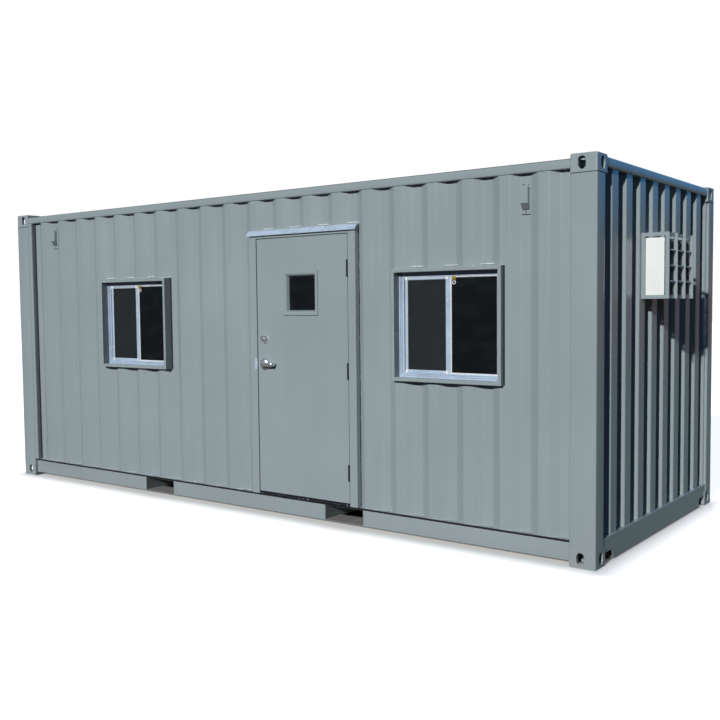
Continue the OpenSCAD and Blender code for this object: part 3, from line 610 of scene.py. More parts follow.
def mesh_of(bm, tidy=False):
    if tidy:
        bmesh.ops.remove_doubles(bm, verts=bm.verts, dist=MERGE)
        bmesh.ops.recalc_face_normals(bm, faces=bm.faces)
    mesh = bpy.data.meshes.new("piece")
    bm.to_mesh(mesh)
    bm.free()
    mesh.shade_smooth()
    mesh.set_sharp_from_angle(angle=SHARP)
    return mesh


def add_piece(name, mesh, finish_name, body="cabin", stands_for=()):
    """Puts a finished mesh into the scene and says what it rides on and replaces."""
    mesh.name = name
    mesh.materials.clear()
    mesh.materials.append(material(finish_name))
    piece = bpy.data.objects.new(name, mesh)
    bpy.context.scene.collection.objects.link(piece)
    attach(piece, body)
    finish_name in SLOTS
    if stands_for:
        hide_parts(*stands_for)
    return piece


def merged_copy(node):
    bm = bmesh.new()
    bm.from_mesh(frame["nodes"][node].data)
    bmesh.ops.remove_doubles(bm, verts=bm.verts, dist=MERGE)
    bmesh.ops.dissolve_limit(bm, angle_limit=FLAT, verts=bm.verts, edges=bm.edges)
    return bm


def bevelled(piece, width, segments, limit="ANGLE"):
    bevel = piece.modifiers.new("Rounded edges", "BEVEL")
    bevel.width = width
    bevel.segments = segments
    bevel.limit_method = limit
    bevel.angle_limit = BEVEL_FROM
    bevel.harden_normals = True
    return piece


def rounded_copy(node, name, width, finish_name, body="cabin", segments=2):
    """Stands for a node with the same shape and softened edges."""
    piece = add_piece(name, mesh_of(merged_copy(node)), finish_name, body, (node,))
    return bevelled(piece, width, segments)


def round_outline(low, high, radius, steps=4):
    """Points of a rectangle with round corners, anticlockwise, as (u, v) pairs."""
    centres = (
        (high[0] - radius, high[1] - radius, 0), (low[0] + radius, high[1] - radius, 1),
        (low[0] + radius, low[1] + radius, 2), (high[0] - radius, low[1] + radius, 3),
    )
    points = []
    for u, v, quarter in centres:
        for k in range(steps + 1):
            turn = (quarter + k / steps) * math.pi / 2
            points.append((u + radius * math.cos(turn), v + radius * math.sin(turn)))
    return points


def add_prism(bm, outline, axis, start, stop):
    """Closed prism of an outline along axis 0, 1 or 2.

    The outline's pairs are the other two axes in order.
    """
    def point(u, v, along):
        values = [u, v]
        values.insert(axis, along)
        return bm.verts.new(values)

    first = [point(u, v, start) for u, v in outline]
    last = [point(u, v, stop) for u, v in outline]
    count = len(outline)
    for k in range(count):
        n = (k + 1) % count
        bm.faces.new((first[k], first[n], last[n], last[k]))
    bm.faces.new(first)
    bm.faces.new(last)


def add_tube(bm, low, high, axis, radius):
    """Round cornered bar between two corners, running along axis."""
    u, v = [k for k in range(3) if k != axis]
    outline = round_outline((low[u], low[v]), (high[u], high[v]), radius)
    add_prism(bm, outline, axis, low[axis], high[axis])


def add_ring(bm, low, high, y, profile):
    """Mitred frame in an upright plane. low and high are (x, z). profile holds (inwards, back) pairs."""
    corners = ((low[0], low[1], 1, 1), (high[0], low[1], -1, 1),
               (high[0], high[1], -1, -1), (low[0], high[1], 1, -1))
    rows = [[bm.verts.new((x + sx * u, y + v, z + sz * u)) for u, v in profile] for x, z, sx, sz in corners]
    count = len(profile)
    for k in range(4):
        here = rows[k]
        there = rows[(k + 1) % 4]
        for j in range(count):
            n = (j + 1) % count
            bm.faces.new((here[j], there[j], there[n], here[n]))


def add_turned(bm, centre, profile, steps):
    """Part turned about a line along Y through centre. profile holds (radius, y) pairs."""
    rings = []
    for radius, y in profile:
        if radius == 0.0:
            rings.append([bm.verts.new((centre.x, y, centre.z))] * steps)
            continue
        turns = [2 * math.pi * k / steps for k in range(steps)]
        rings.append([bm.verts.new((centre.x + radius * math.cos(t), y, centre.z + radius * math.sin(t)))
                      for t in turns])
    for a, b in zip(rings, rings[1:]):
        for k in range(steps):
            n = (k + 1) % steps
            corners = dict.fromkeys((a[k], a[n], b[n], b[k]))
            bm.faces.new(tuple(corners))


def add_swept(bm, path, sizes, steps=16):
    """Oval bar along a level path. sizes holds (half thickness, half height) for each point."""
    up = Vector((0, 0, 1))
    rings = []
    for k, point in enumerate(path):
        ahead = path[min(k + 1, len(path) - 1)] - path[max(k - 1, 0)]
        side = ahead.cross(up).normalized()
        thick, high = sizes[k]
        rings.append([bm.verts.new(point + side * thick * math.cos(t) + up * high * math.sin(t))
                      for t in (2 * math.pi * j / steps for j in range(steps))])
    for a, b in zip(rings, rings[1:]):
        for j in range(steps):
            n = (j + 1) % steps
            bm.faces.new((a[j], a[n], b[n], b[j]))
    bm.faces.new(rings[0])
    bm.faces.new(rings[-1])


# Geometry node trees

def new_tree(name, sockets):
    """A geometry tree with named inputs. Returns the graph and its inputs by name."""
    tree = bpy.data.node_groups.new(name, "GeometryNodeTree")
    for label, kind in sockets:
        tree.interface.new_socket(name=label, in_out="INPUT", socket_type=f"NodeSocket{kind}")
    tree.interface.new_socket(name="Geometry", in_out="OUTPUT", socket_type="NodeSocketGeometry")
    graph = Graph(tree)
    source = graph.node("NodeGroupInput")
    inputs = {label: Value(graph, source.outputs[label]) for label, _ in sockets}
    return graph, inputs


def close_tree(graph, shape, inputs):
    """Ends a tree: instances become mesh and take the material."""
    real = graph.add("GeometryNodeRealizeInstances", None, {"Geometry": shape})
    dressed = graph.add("GeometryNodeSetMaterial", None, {"Geometry": real, "Material": inputs["Material"]})
    graph.node("NodeGroupOutput", None, {"Geometry": dressed})
    return graph.tree


def together(graph, *shapes):
    """Joins shapes in a tree."""
    joint = graph.node("GeometryNodeJoinGeometry")
    for shape in shapes:
        graph.join(shape, joint.inputs[0])
    return Value(graph, joint.outputs[0])


def sheet_tree():
    """Corrugated sheet: a grid folded by a rounded trapezium wave, then given its thickness."""
    lengths = ("Start", "End", "Base", "Top", "Centre", "Pitch", "Flat", "Slope", "Depth", "Bend", "Sheet")
    sockets = [(label, "Float") for label in lengths] + [("Columns", "Int"), ("Material", "Material")]
    g, i = new_tree("Corrugated sheet", sockets)
    grid = g.add("GeometryNodeMeshGrid", None, {
        "Size X": i["End"] - i["Start"], "Size Y": i["Top"] - i["Base"],
        "Vertices X": i["Columns"], "Vertices Y": 2})
    place = g.node("ShaderNodeSeparateXYZ", None, {"Vector": g.add("GeometryNodeInputPosition")})
    along = Value(g, place.outputs[0]) + (i["Start"] + i["End"]) * 0.5
    high = Value(g, place.outputs[1]) + (i["Base"] + i["Top"]) * 0.5
    turns = (along - i["Centre"]) / i["Pitch"]
    off = g.sum("ABSOLUTE", turns - g.sum("ROUND", turns)) * i["Pitch"]
    run = (off - i["Flat"] * 0.5) / i["Slope"]
    soft = i["Bend"] / i["Slope"]
    rise = g.sum("SMOOTH_MIN", g.sum("SMOOTH_MAX", run, 0.0, soft), 1.0, soft)
    back = i["Depth"] * (1.0 - rise)
    inside = g.add("ShaderNodeCombineXYZ", None, {"X": along, "Y": back + i["Sheet"], "Z": high})
    folded = g.add("GeometryNodeSetPosition", None, {"Geometry": grid, "Position": inside})
    outward = g.add("ShaderNodeCombineXYZ", None, {"Y": 0.0 - i["Sheet"]})
    sockets = {"Mesh": folded, "Offset": outward, "Offset Scale": 1.0, "Individual": False}
    outer = g.add("GeometryNodeExtrudeMesh", None, sockets)
    inner = g.add("GeometryNodeFlipFaces", None, {"Mesh": folded})
    sides = together(g, outer, inner)
    whole = g.add("GeometryNodeMergeByDistance", None, {"Geometry": sides, "Distance": MERGE})
    return close_tree(g, whole, i)


def bead_tree():
    """Weld bead: an uneven tube along the edges of the mesh it is given."""
    sockets = [("Path", "Geometry"), ("Radius", "Float"), ("Step", "Float"), ("Material", "Material")]
    g, i = new_tree("Weld bead", sockets)
    curve = g.add("GeometryNodeMeshToCurve", None, {"Mesh": i["Path"]})
    fine = g.add("GeometryNodeResampleCurve", {"mode": "LENGTH"}, {"Curve": curve, "Length": i["Step"]})
    lump = g.add("ShaderNodeTexNoise", None, {"Scale": 42.0, "Detail": 2.0})
    size = i["Radius"] * (0.55 + 0.9 * lump)
    ring = g.add("GeometryNodeCurvePrimitiveCircle", None, {"Resolution": 6, "Radius": 1.0})
    tube = g.add("GeometryNodeCurveToMesh", None, {
        "Curve": fine, "Profile Curve": ring, "Scale": size, "Fill Caps": True})
    return close_tree(g, tube, i)


def bar_row_tree():
    """A straight row of like bars, for fins, wires and slats."""
    sockets = [("First", "Vector"), ("Step", "Vector"), ("Size", "Vector"), ("Count", "Int"),
               ("Material", "Material")]
    g, i = new_tree("Bar row", sockets)
    line = g.add("GeometryNodeMeshLine", None, {
        "Count": i["Count"], "Start Location": i["First"], "Offset": i["Step"]})
    bar = g.add("GeometryNodeMeshCube", None, {"Size": i["Size"]})
    row = g.add("GeometryNodeInstanceOnPoints", None, {"Points": line, "Instance": bar})
    return close_tree(g, row, i)


def screw_tree():
    """Pan head screws on the points of the mesh it is given, each turned by chance about its own axis."""
    sockets = [("Places", "Geometry"), ("Radius", "Float"), ("Facing", "Rotation"), ("Material", "Material")]
    g, i = new_tree("Screw heads", sockets)
    head = g.add("GeometryNodeMeshCone", None, {
        "Vertices": 10, "Radius Top": i["Radius"] * 0.62, "Radius Bottom": i["Radius"],
        "Depth": i["Radius"] * 0.55})
    slot = g.add("GeometryNodeMeshCube", None, {"Size": g.add("ShaderNodeCombineXYZ", None, {
        "X": i["Radius"] * 1.0, "Y": i["Radius"] * 0.24, "Z": i["Radius"] * 0.1})})
    lift = g.add("ShaderNodeCombineXYZ", None, {"Z": i["Radius"] * 0.56})
    raised = g.add("GeometryNodeTransform", None, {"Geometry": slot, "Translation": lift})
    screw = together(g, head, raised)
    turn = g.add("FunctionNodeRandomValue", None, {2: 0.0, 3: math.pi, "Seed": SEED}, out=1)
    spin = g.add("FunctionNodeAxisAngleToRotation", None, {"Angle": turn})
    facing = g.add("FunctionNodeRotateRotation", {"rotation_space": "LOCAL"},
                   {"Rotation": i["Facing"], "Rotate By": spin})
    heads = g.add("GeometryNodeInstanceOnPoints", None, {
        "Points": i["Places"], "Instance": screw, "Rotation": facing})
    return close_tree(g, heads, i)


TREE_MAKERS = {"sheet": sheet_tree, "bead": bead_tree, "bar_row": bar_row_tree, "screws": screw_tree}
TREES = {}


def tree(kind):
    if kind not in TREES:
        TREES[kind] = TREE_MAKERS[kind]()
    return TREES[kind]


def grow(kind, finish_name, source=None, **values):
    """Runs a tree once, on source if it needs a mesh, and returns the result as a plain mesh."""
    carrier = bpy.data.objects.new("carrier", source or bpy.data.meshes.new("carrier"))
    bpy.context.scene.collection.objects.link(carrier)
    grower = carrier.modifiers.new("Grow", "NODES")
    grower.node_group = tree(kind)
    values["Material"] = material(finish_name)
    for item in grower.node_group.interface.items_tree:
        if item.in_out == "INPUT" and item.name in values:
            grower[item.identifier] = values[item.name]
    shown = carrier.evaluated_get(bpy.context.evaluated_depsgraph_get())
    mesh = bpy.data.meshes.new_from_object(shown)
    carrier.modifiers.remove(grower)
    bpy.data.objects.remove(carrier)
    if not mesh.polygons:
        raise RuntimeError(f"the {kind} tree made nothing")
    return mesh


def joined(meshes):
    """One mesh from several."""
    bm = bmesh.new()
    for mesh in meshes:
        bm.from_mesh(mesh)
    return mesh_of(bm)


def line_mesh(paths):
    """Mesh of loose edges along each list of points."""
    mesh = bpy.data.meshes.new("path")
    points = []
    edges = []
    for path in paths:
        first = len(points)
        points.extend(path)
        edges.extend((first + k, first + k + 1) for k in range(len(path) - 1))
    mesh.from_pydata(points, edges, [])
    return mesh


# Walls

def side_wave(x):
    """Depth of the front wall's face behind its outer plane at x."""
    s = steel()
    turns = (x - WALL_MIDDLE) / s.side_pitch
    off = abs(turns - round(turns)) * s.side_pitch
    run = min(1.0, max(0.0, (off - s.side_flat / 2) / s.side_slope))
    return (FRONT_LEFT[1].y - FRONT_LEFT[0].y - s.sheet) * (1.0 - run)


def folded(span, centre, pitch, flat, slope, bend, depth, columns):
    """Sheet along X that is folded towards +Y. span holds its start, end, base and top."""
    start, end, base, top = span
    return grow("sheet", "paint", Start=start, End=end, Base=base, Top=top, Centre=centre, Pitch=pitch,
                Flat=flat, Slope=slope, Depth=depth, Bend=bend, Sheet=steel().sheet,
                Columns=max(2, round(columns)))


def side_sheet(start, end, base, top, turned=False):
    """Long wall sheet. turned makes the back wall's."""
    s = steel()
    centre = -WALL_MIDDLE if turned else WALL_MIDDLE
    depth = FRONT_LEFT[1].y - FRONT_LEFT[0].y - s.sheet
    mesh = folded((start, end, base, top), centre, s.side_pitch, s.side_flat, s.side_slope, s.side_bend,
                  depth, (end - start) / s.fold_step)
    mesh.transform(Matrix.Translation((0, FRONT_LEFT[0].y, 0)))
    if turned:
        mesh.transform(Matrix.Rotation(math.pi, 4, "Z"))
    return mesh


def end_sheet(start, end, base, top, side):
    """End wall sheet from y = start to y = end. side is 1 for the right end and -1 for the left."""
    s = steel()
    span = (start, end, base, top) if side > 0 else (-end, -start, base, top)
    depth = RIGHT_END[1].x - RIGHT_END[0].x - s.sheet
    finer = 1.6
    mesh = folded(span, 0.0, s.end_pitch, s.end_flat, s.end_slope, s.end_bend, depth,
                  (end - start) / s.fold_step * finer)
    mesh.transform(Matrix.Translation((0, -RIGHT_END[1].x, 0)))
    mesh.transform(Matrix.Rotation(side * math.pi / 2, 4, "Z"))
    return mesh


def end_spans(low, high):
    """Splits an end wall where it passes under the top castings."""
    inner = HEADERS[1].y
    under = TOP_CASTINGS[0].z
    spans = [(max(low.y, -inner), min(high.y, inner), low.z, high.z)]
    if low.y < -inner:
        spans.append((low.y, -inner, low.z, under))
    if high.y > inner:
        spans.append((inner, high.y, low.z, under))
    return spans


class CABIN_OT_walls(bpy.types.Operator):
    """Folds the corrugated sheets of the four walls"""

    bl_idname = "cabin.walls"
    bl_label = "Corrugated walls"

    def execute(self, context):
        for node in ("front_wall_left", "front_wall_left_of_door", "front_wall_above_door",
                     "front_wall_right_of_door", "front_wall_right"):
            low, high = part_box(node)
            self.wall(node, [side_sheet(low.x, high.x, low.z, high.z)])
        for node in ("front_wall_below_windows", "front_wall_above_windows"):
            low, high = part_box(node)
            self.wall(node, [side_sheet(a, b, low.z, high.z) for a, b in WINDOW_SPANS])
        self.wall("back_wall", [side_sheet(-BACK[1].x, -BACK[0].x, BACK[0].z, BACK[1].z, True)])
        self.wall("left_end_wall", [end_sheet(*span, -1) for span in end_spans(*LEFT_END)])
        for node in ("right_end_wall_front", "right_end_wall_back", "right_end_wall_below_ac",
                     "right_end_wall_above_ac"):
            self.wall(node, [end_sheet(*span, 1) for span in end_spans(*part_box(node))])
        return {"FINISHED"}

    @staticmethod
    def wall(node, meshes):
        add_piece(node.replace("wall", "sheet"), joined(meshes), "paint", "cabin", (node,))


# Steel frame

def tube_set(name, boxes, axis, finish_name="frame_paint", stands_for=()):
    bm = bmesh.new()
    for low, high in boxes:
        add_tube(bm, low, high, axis, steel().tube_round)
    add_piece(name, mesh_of(bm, True), finish_name, "cabin", stands_for)


def corners_of(points):
    """Lowest and highest corner of a list of points."""
    spread = [[point[k] for point in points] for k in range(3)]
    return Vector(map(min, spread)), Vector(map(max, spread))


def islands(node):
    """Points of each loose solid of a node, in the order of its mesh."""
    bm = merged_copy(node)
    waiting = dict.fromkeys(bm.verts)
    groups = []
    while waiting:
        first = next(iter(waiting))
        del waiting[first]
        group = [first]
        for vert in group:
            for edge in vert.link_edges:
                other = edge.other_vert(vert)
                if other in waiting:
                    del waiting[other]
                    group.append(other)
        groups.append([vert.co.copy() for vert in group])
    bm.free()
    return groups


def island_boxes(node):
    """Lowest and highest corner of each loose solid of a node."""
    return sorted((corners_of(points) for points in islands(node)), key=lambda pair: tuple(pair[0]))


def post_boxes():
    """Boxes of the corner posts, and of the narrow tubes that stand beside the left ones."""
    edge = island_boxes("top_corner_castings")[0][1].x
    posts = []
    tubes = []
    for points in islands("corner_posts"):
        post = corners_of([p for p in points if abs(p.x) > abs(edge) - MERGE])
        post[1].z = TOP_CASTINGS[0].z
        posts.append(post)
        beside = [p for p in points if abs(p.x) < abs(edge) - MERGE]
        if beside:
            narrow = corners_of(beside)
            narrow[0].x = edge
            tubes.append(narrow)
    return posts, tubes


def looks_out(face):
    """True for a face that looks away from the middle of the box."""
    return face.normal.dot(face.calc_center_median() - BOX_MIDDLE) > 0.0


def at_end(edge):
    """True for an edge that lies on the ground or at the very top."""
    return any(all(abs(vert.co.z - z) < MERGE for vert in edge.verts) for z in (0.0, TOP_CASTINGS[1].z))


def weighted_casting(node, name):
    """Casting with well rounded outer edges, and lightly eased ones at slots and joints."""
    bm = merged_copy(node)
    weights = bm.edges.layers.float.new("bevel_weight_edge")
    long_edge = 0.1
    for edge in bm.edges:
        if edge.is_convex and edge.calc_face_angle(0.0) > BEVEL_FROM:
            outward = at_end(edge) or all(looks_out(face) for face in edge.link_faces)
            outer = outward and edge.calc_length() > long_edge
            edge[weights] = 1.0 if outer else 0.25
    piece = add_piece(name, mesh_of(bm), "cast_paint", "cabin", (node,))
    bevel = bevelled(piece, steel().cast_round, 3, "WEIGHT").modifiers[0]
    bevel.use_clamp_overlap = False


# Plate work that keeps its shape: node, piece and finish
PLATE_WORK = (
    ("bottom_side_rails", "bottom_rails", "frame_paint"), ("end_sills", "sills", "frame_paint"),
    ("fork_pockets", "pockets", "worn_plate"), ("floor_cross_members", "cross_members", "frame_paint"),
    ("roof_panel", "roof_sheet", "paint"), ("plywood_floor", "floor_boards", "plywood"),
)


class CABIN_OT_frame(bpy.types.Operator):
    """Makes castings, posts, rails, headers, sills and the floor's steel"""

    bl_idname = "cabin.frame"
    bl_label = "Steel frame"

    def execute(self, context):
        weighted_casting("bottom_corner_castings", "bottom_castings")
        weighted_casting("top_corner_castings", "top_castings")
        posts, tubes = post_boxes()
        tube_set("posts", posts, 2, stands_for=("corner_posts",))
        # The narrow tubes beside the left posts take the paint with painted shade on their sides.
        tube_set("post_tubes", tubes, 2, "side_paint")
        tube_set("top_rails", island_boxes("top_side_rails"), 0, stands_for=("top_side_rails",))
        tube_set("headers", island_boxes("end_headers"), 1, stands_for=("end_headers",))
        tube_set("post_joints", list(self.joint_boxes(posts)), 2, "rubber_and_painted_shadow")
        for node, name, finish_name in PLATE_WORK:
            rounded_copy(node, name, steel().plate_round, finish_name)
        return {"FINISHED"}

    @staticmethod
    def joint_boxes(posts):
        """Thin dark joint between each post and its top casting."""
        proud = Vector((0.0005, 0.0005, 0.0))
        high = Vector((0.0, 0.0, steel().joint))
        for low, top in posts:
            foot = Vector((low.x, low.y, top.z))
            yield foot - proud - high, top + proud


# Beads

def wave_path(start, end, z, out):
    """Points along the front wall's face at height z, standing out of it by out."""
    step = steel().bead_step
    count = max(2, round((end - start) / step))
    xs = [start + (end - start) * k / count for k in range(count + 1)]
    return [(x, FRONT_LEFT[0].y + side_wave(x) - out, z) for x in xs]


def upright_path(x, low, high, out):
    y = FRONT_LEFT[0].y + side_wave(x) - out
    return [(x, y, low), (x, y, high)]


def lay_bead(name, finish_name, paths, radius):
    mesh = grow("bead", finish_name, line_mesh(paths), Radius=radius, Step=steel().bead_step)
    mesh.shade_smooth()
    add_piece(name, mesh, finish_name)


class CABIN_OT_beads(bpy.types.Operator):
    """Lays weld and caulk beads where the front wall meets what is set into it"""

    bl_idname = "cabin.beads"
    bl_label = "Weld beads"

    def execute(self, context):
        self.welds()
        self.caulk()
        self.flange_seal_and_shadow()
        self.corner_seals_and_shade()
        return {"FINISHED"}

    @staticmethod
    def flange_seal_and_shadow():
        """Black strip of sealant over the edge of each bottom rail's flange and in the corner under it, also
        standing for the shadow under the flange as painted shadow.
        """
        low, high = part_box("bottom_side_rails")
        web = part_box("fork_pockets")[0].y
        proud = 0.0008
        sunk = 0.0004
        lean = 0.0006
        edge = low.y - proud
        top = high.z - 0.001
        under = high.z - 0.006
        foot = high.z - 0.022
        outline = ((edge, top), (edge, under), (web - lean, foot), (web + sunk, under + sunk),
                   (low.y + sunk, under + sunk), (low.y + sunk, top))
        bm = bmesh.new()
        add_prism(bm, outline, 0, low.x, high.x)
        add_prism(bm, [(-y, z) for y, z in outline], 0, low.x, high.x)
        add_piece("flange_seal_and_shadow", mesh_of(bm, True), "rubber_and_painted_shadow")

    @staticmethod
    def corner_seals_and_shade():
        """Black sealant where the wall meets the right side of a post, a surround or a jamb, also standing
        for the shade along those sides as painted shade.
        """
        wide = 0.008
        sunk = 0.001
        lines = [(b, SURROUNDS[0].z, SURROUNDS[1].z) for _, b in WINDOW_SPANS]
        lines.append((OVER_DOOR[1].x, RAIL_TOP, OVER_DOOR[0].z))
        lines.append((FRONT_LEFT[0].x, RAIL_TOP, FRONT_LEFT[1].z))
        bm = bmesh.new()
        for x, low, high in lines:
            y = FRONT_LEFT[0].y + side_wave(x)
            outline = ((x - sunk, y - wide), (x + sunk / 2, y - wide), (x + wide, y + sunk),
                       (x - sunk, y + sunk))
            add_prism(bm, outline, 2, low, high)
        add_piece("corner_seals_and_shade", mesh_of(bm, True), "rubber_and_painted_shadow")

    @staticmethod
    def caulk():
        """Sealant smeared into each recess over the windows and the drip cap, pale in part as painted
        highlight.
        """
        s = steel()
        reach = s.side_flat / 2 + s.side_slope * 0.25
        spans = [(a, b, SURROUNDS[1].z + s.caulk_lift) for a, b in WINDOW_SPANS]
        spans.append((CAP[0].x, CAP[1].x, CAP[1].z + s.caulk_lift))
        paths = []
        for a, b, z in spans:
            first = math.ceil((a - WALL_MIDDLE) / s.side_pitch - 0.2)
            last = math.floor((b - WALL_MIDDLE) / s.side_pitch + 0.2)
            for k in range(first, last + 1):
                x = WALL_MIDDLE + k * s.side_pitch
                paths.append(wave_path(max(a, x - reach), min(b, x + reach), z, s.caulk * 0.3))
        lay_bead("caulk_beads", "caulk", paths, s.caulk)

    @staticmethod
    def welds():
        """Welds round the windows and the door, along the bottom rail and up both posts."""
        r = steel().bead
        half = r / 2
        low = SURROUNDS[0].z
        high = SURROUNDS[1].z
        left = OVER_DOOR[0].x
        right = OVER_DOOR[1].x
        head = OVER_DOOR[0].z
        paths = []
        for a, b in WINDOW_SPANS:
            paths += [wave_path(a, b, high + half, half), wave_path(a, b, low - half, half),
                      upright_path(a - half, low, high, half), upright_path(b + half, low, high, half)]
        paths += [wave_path(left, right, head + half, half),
                  upright_path(left - half, RAIL_TOP, head, half),
                  upright_path(right + half, RAIL_TOP, head, half)]
        for a, b in ((FRONT_LEFT[0].x, left), (right, FRONT_RIGHT[1].x)):
            paths.append(wave_path(a, b, RAIL_TOP + half, half))
        paths += [upright_path(FRONT_LEFT[0].x + half, RAIL_TOP, FRONT_LEFT[1].z, half),
                  upright_path(FRONT_RIGHT[1].x - half, RAIL_TOP, FRONT_RIGHT[1].z, half)]
        lay_bead("front_beads", "bead_paint", paths, r)


# Windows

SILL = SCREENS[0].z
LINTEL = SCREENS[1].z
TRACK_FACE = SILL - SASHES[0].z
TRACK_DEPTH = SASHES[1].y - SASHES[0].y
STILE_HALF = sum(WINDOW_SPANS[1]) / 2 - SCREENS[1].x

# Sections of window members, (inwards, back) in metres from the outer front edge
TRACKS = (
    (0.0, 0.0), (0.0063, 0.0), (0.0073, 0.001), (0.0073, 0.010), (0.0123, 0.010), (0.0123, 0.002),
    (0.0197, 0.002), (0.0197, 0.012), (0.0247, 0.012), (0.0247, 0.004), (TRACK_FACE, 0.004),
    (TRACK_FACE, TRACK_DEPTH), (0.0, TRACK_DEPTH),
)
PANE_BEAD = ((0.0, 0.003), (0.003, 0.0), (0.007, 0.0), (0.011, 0.004), (0.011, 0.018), (0.0, 0.018))
SCREEN_BAR = ((0.0, 0.002), (0.002, 0.0), (0.018, 0.0), (0.022, 0.003), (0.022, 0.011), (0.0, 0.011))


class CABIN_OT_windows(bpy.types.Operator):
    """Makes the sliding windows with frames, screens, glass and latches"""

    bl_idname = "cabin.windows"
    bl_label = "Windows"

    def execute(self, context):
        # The surrounds take the paint with painted shade on their sides.
        rounded_copy("window_surrounds", "surrounds", steel().plate_round * 1.6, "side_paint")
        self.sashes()
        self.screens()
        self.panes()
        self.latches()
        return {"FINISHED"}

    @staticmethod
    def openings():
        """(middle x, half width) of each window."""
        for a, b in WINDOW_SPANS:
            yield (a + b) / 2, (b - a) / 2 - SURROUND_EDGE

    def sashes(self):
        """Outer frames with their tracks and stiles, and the white beads round the right panes."""
        frames = bmesh.new()
        beads = bmesh.new()
        front = SASHES[0].y
        stile_back = 0.0055
        bead_back = 0.0092
        for x, half in self.openings():
            add_ring(frames, (x - half, SASHES[0].z), (x + half, SASHES[1].z), front, TRACKS)
            self.stile(frames, x, front + stile_back)
            self.track_lip(frames, x - half + TRACK_FACE, front)
            low = (x + STILE_HALF, SILL)
            high = (x + half - TRACK_FACE, LINTEL)
            add_ring(beads, low, high, front + bead_back, PANE_BEAD)
        add_piece("sashes", mesh_of(frames, True), "aluminium", "cabin", ("window_frames",))
        add_piece("pane_beads", mesh_of(beads, True), "bright")

    @staticmethod
    def track_lip(bm, x, front):
        """Lip that narrows the slot between the left track and the screen."""
        wide = 0.008
        near = front + 0.006
        far = front + 0.020
        outline = ((x, near), (x + wide, near), (x + wide, far), (x, far))
        add_prism(bm, outline, 2, SILL, LINTEL)

    @staticmethod
    def stile(bm, x, front):
        """Meeting stile: a bar with a step at each side."""
        step = STILE_HALF / 3
        depth = TRACK_DEPTH / 2
        half = STILE_HALF
        outline = ((-half, step), (-half + step, step), (-half + step, 0.001), (-half + step + 0.001, 0.0),
                   (half - step - 0.001, 0.0), (half - step, 0.001), (half - step, step), (half, step),
                   (half, depth), (-half, depth))
        add_prism(bm, [(x + u, front + v) for u, v in outline], 2, SILL, LINTEL)

    def screens(self):
        """Insect screens in their frames, with white corner keys."""
        low, high = SCREENS
        f = fittings()
        frames = bmesh.new()
        corners = bmesh.new()
        wires = []
        edge = SCREEN_BAR[3][0]
        gap = low.x - SASHES[0].x
        wire_back = 0.005
        for x, half in self.openings():
            left = x - half + gap
            right = x - STILE_HALF
            add_ring(frames, (left, low.z), (right, high.z), low.y, SCREEN_BAR)
            self.corner_keys(corners, left, right, edge)
            span = (left + edge, right - edge, low.z + edge, high.z - edge)
            wires.extend(self.weave(f, *span, low.y + wire_back))
        add_piece("screen_frames", mesh_of(frames, True), "aluminium")
        add_piece("screen_corners", mesh_of(corners, True), "bright")
        add_piece("screen_wires", joined(wires), "wire", "cabin", ("window_screens",))

    @staticmethod
    def corner_keys(bm, left, right, size):
        """White keys that join the members of one screen frame."""
        proud = 0.0012
        sunk = 0.004
        for x in (left, right - size):
            for z in (SILL, LINTEL - size):
                add_tube(bm, Vector((x, SCREENS[0].y - proud, z)),
                         Vector((x + size, SCREENS[0].y + sunk, z + size)), 1, size / 5)

    @staticmethod
    def weave(f, left, right, low, high, y):
        """Upright and level wires of one screen."""
        across = int((right - left) / f.wire_pitch)
        up = int((high - low) / f.wire_pitch)
        yield grow("bar_row", "wire", First=(left, y, (low + high) / 2), Step=(f.wire_pitch, 0, 0),
                   Size=(f.wire, f.wire, high - low), Count=across)
        yield grow("bar_row", "wire", First=((left + right) / 2, y + f.wire * 0.6, low),
                   Step=(0, 0, f.wire_pitch), Size=(right - left, f.wire, f.wire), Count=up)

    def panes(self):
        """Glass, and the black gasket round each right pane."""
        rounded_copy("window_glass", "panes", FINE_EDGE, "glass")
        g = fittings().gasket
        edge = PANE_BEAD[3][0]
        thick = 0.003
        section = ((0.0, 0.0), (g, thick / 3), (g, thick), (0.0, thick))
        bm = bmesh.new()
        for x, half in self.openings():
            low = (x + STILE_HALF + edge, SILL + edge)
            high = (x + half - TRACK_FACE - edge, LINTEL - edge)
            add_ring(bm, low, high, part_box("window_glass")[0].y - thick, section)
        add_piece("glazing_gaskets", mesh_of(bm, True), "rubber_and_painted_shadow")

    def latches(self):
        """Brass catch at the top of each right sash, with a bright pull ring under it."""
        f = fittings()
        catches = bmesh.new()
        rings = bmesh.new()
        set_back = 0.009
        face = SASHES[0].y + set_back
        plate = 0.004
        below = 0.003
        knob = ((0.32, 0.0), (0.30, 0.20), (0.42, 0.32), (0.36, 0.46), (0.0, 0.50))
        for x, _ in self.openings():
            left = x + STILE_HALF + f.catch * 0.7
            middle = Vector((left + f.catch / 2, face, LINTEL - f.catch * 0.6))
            add_tube(catches, Vector((left, face - plate, LINTEL - f.catch * 1.1)),
                     Vector((left + f.catch, face, LINTEL - below)), 1, f.catch / 5)
            profile = [(r * f.catch, face - plate - out * f.catch) for r, out in knob]
            add_turned(catches, middle, [(0.0, face - plate), *profile], 20)
            self.pull_ring(rings, middle - Vector((0, plate, f.catch)), f.catch * 0.42, f.catch * 0.10)
        add_piece("latches", mesh_of(catches, True), "brass")
        add_piece("pull_rings", mesh_of(rings, True), "bright")

    @staticmethod
    def pull_ring(bm, centre, radius, wire):
        """Ring of round wire that hangs flat against the sash."""
        turns = [2 * math.pi * k / 8 for k in range(9)]
        profile = [(radius + wire * math.cos(t), centre.y + wire * math.sin(t)) for t in turns]
        add_turned(bm, centre, profile, 24)


# Door

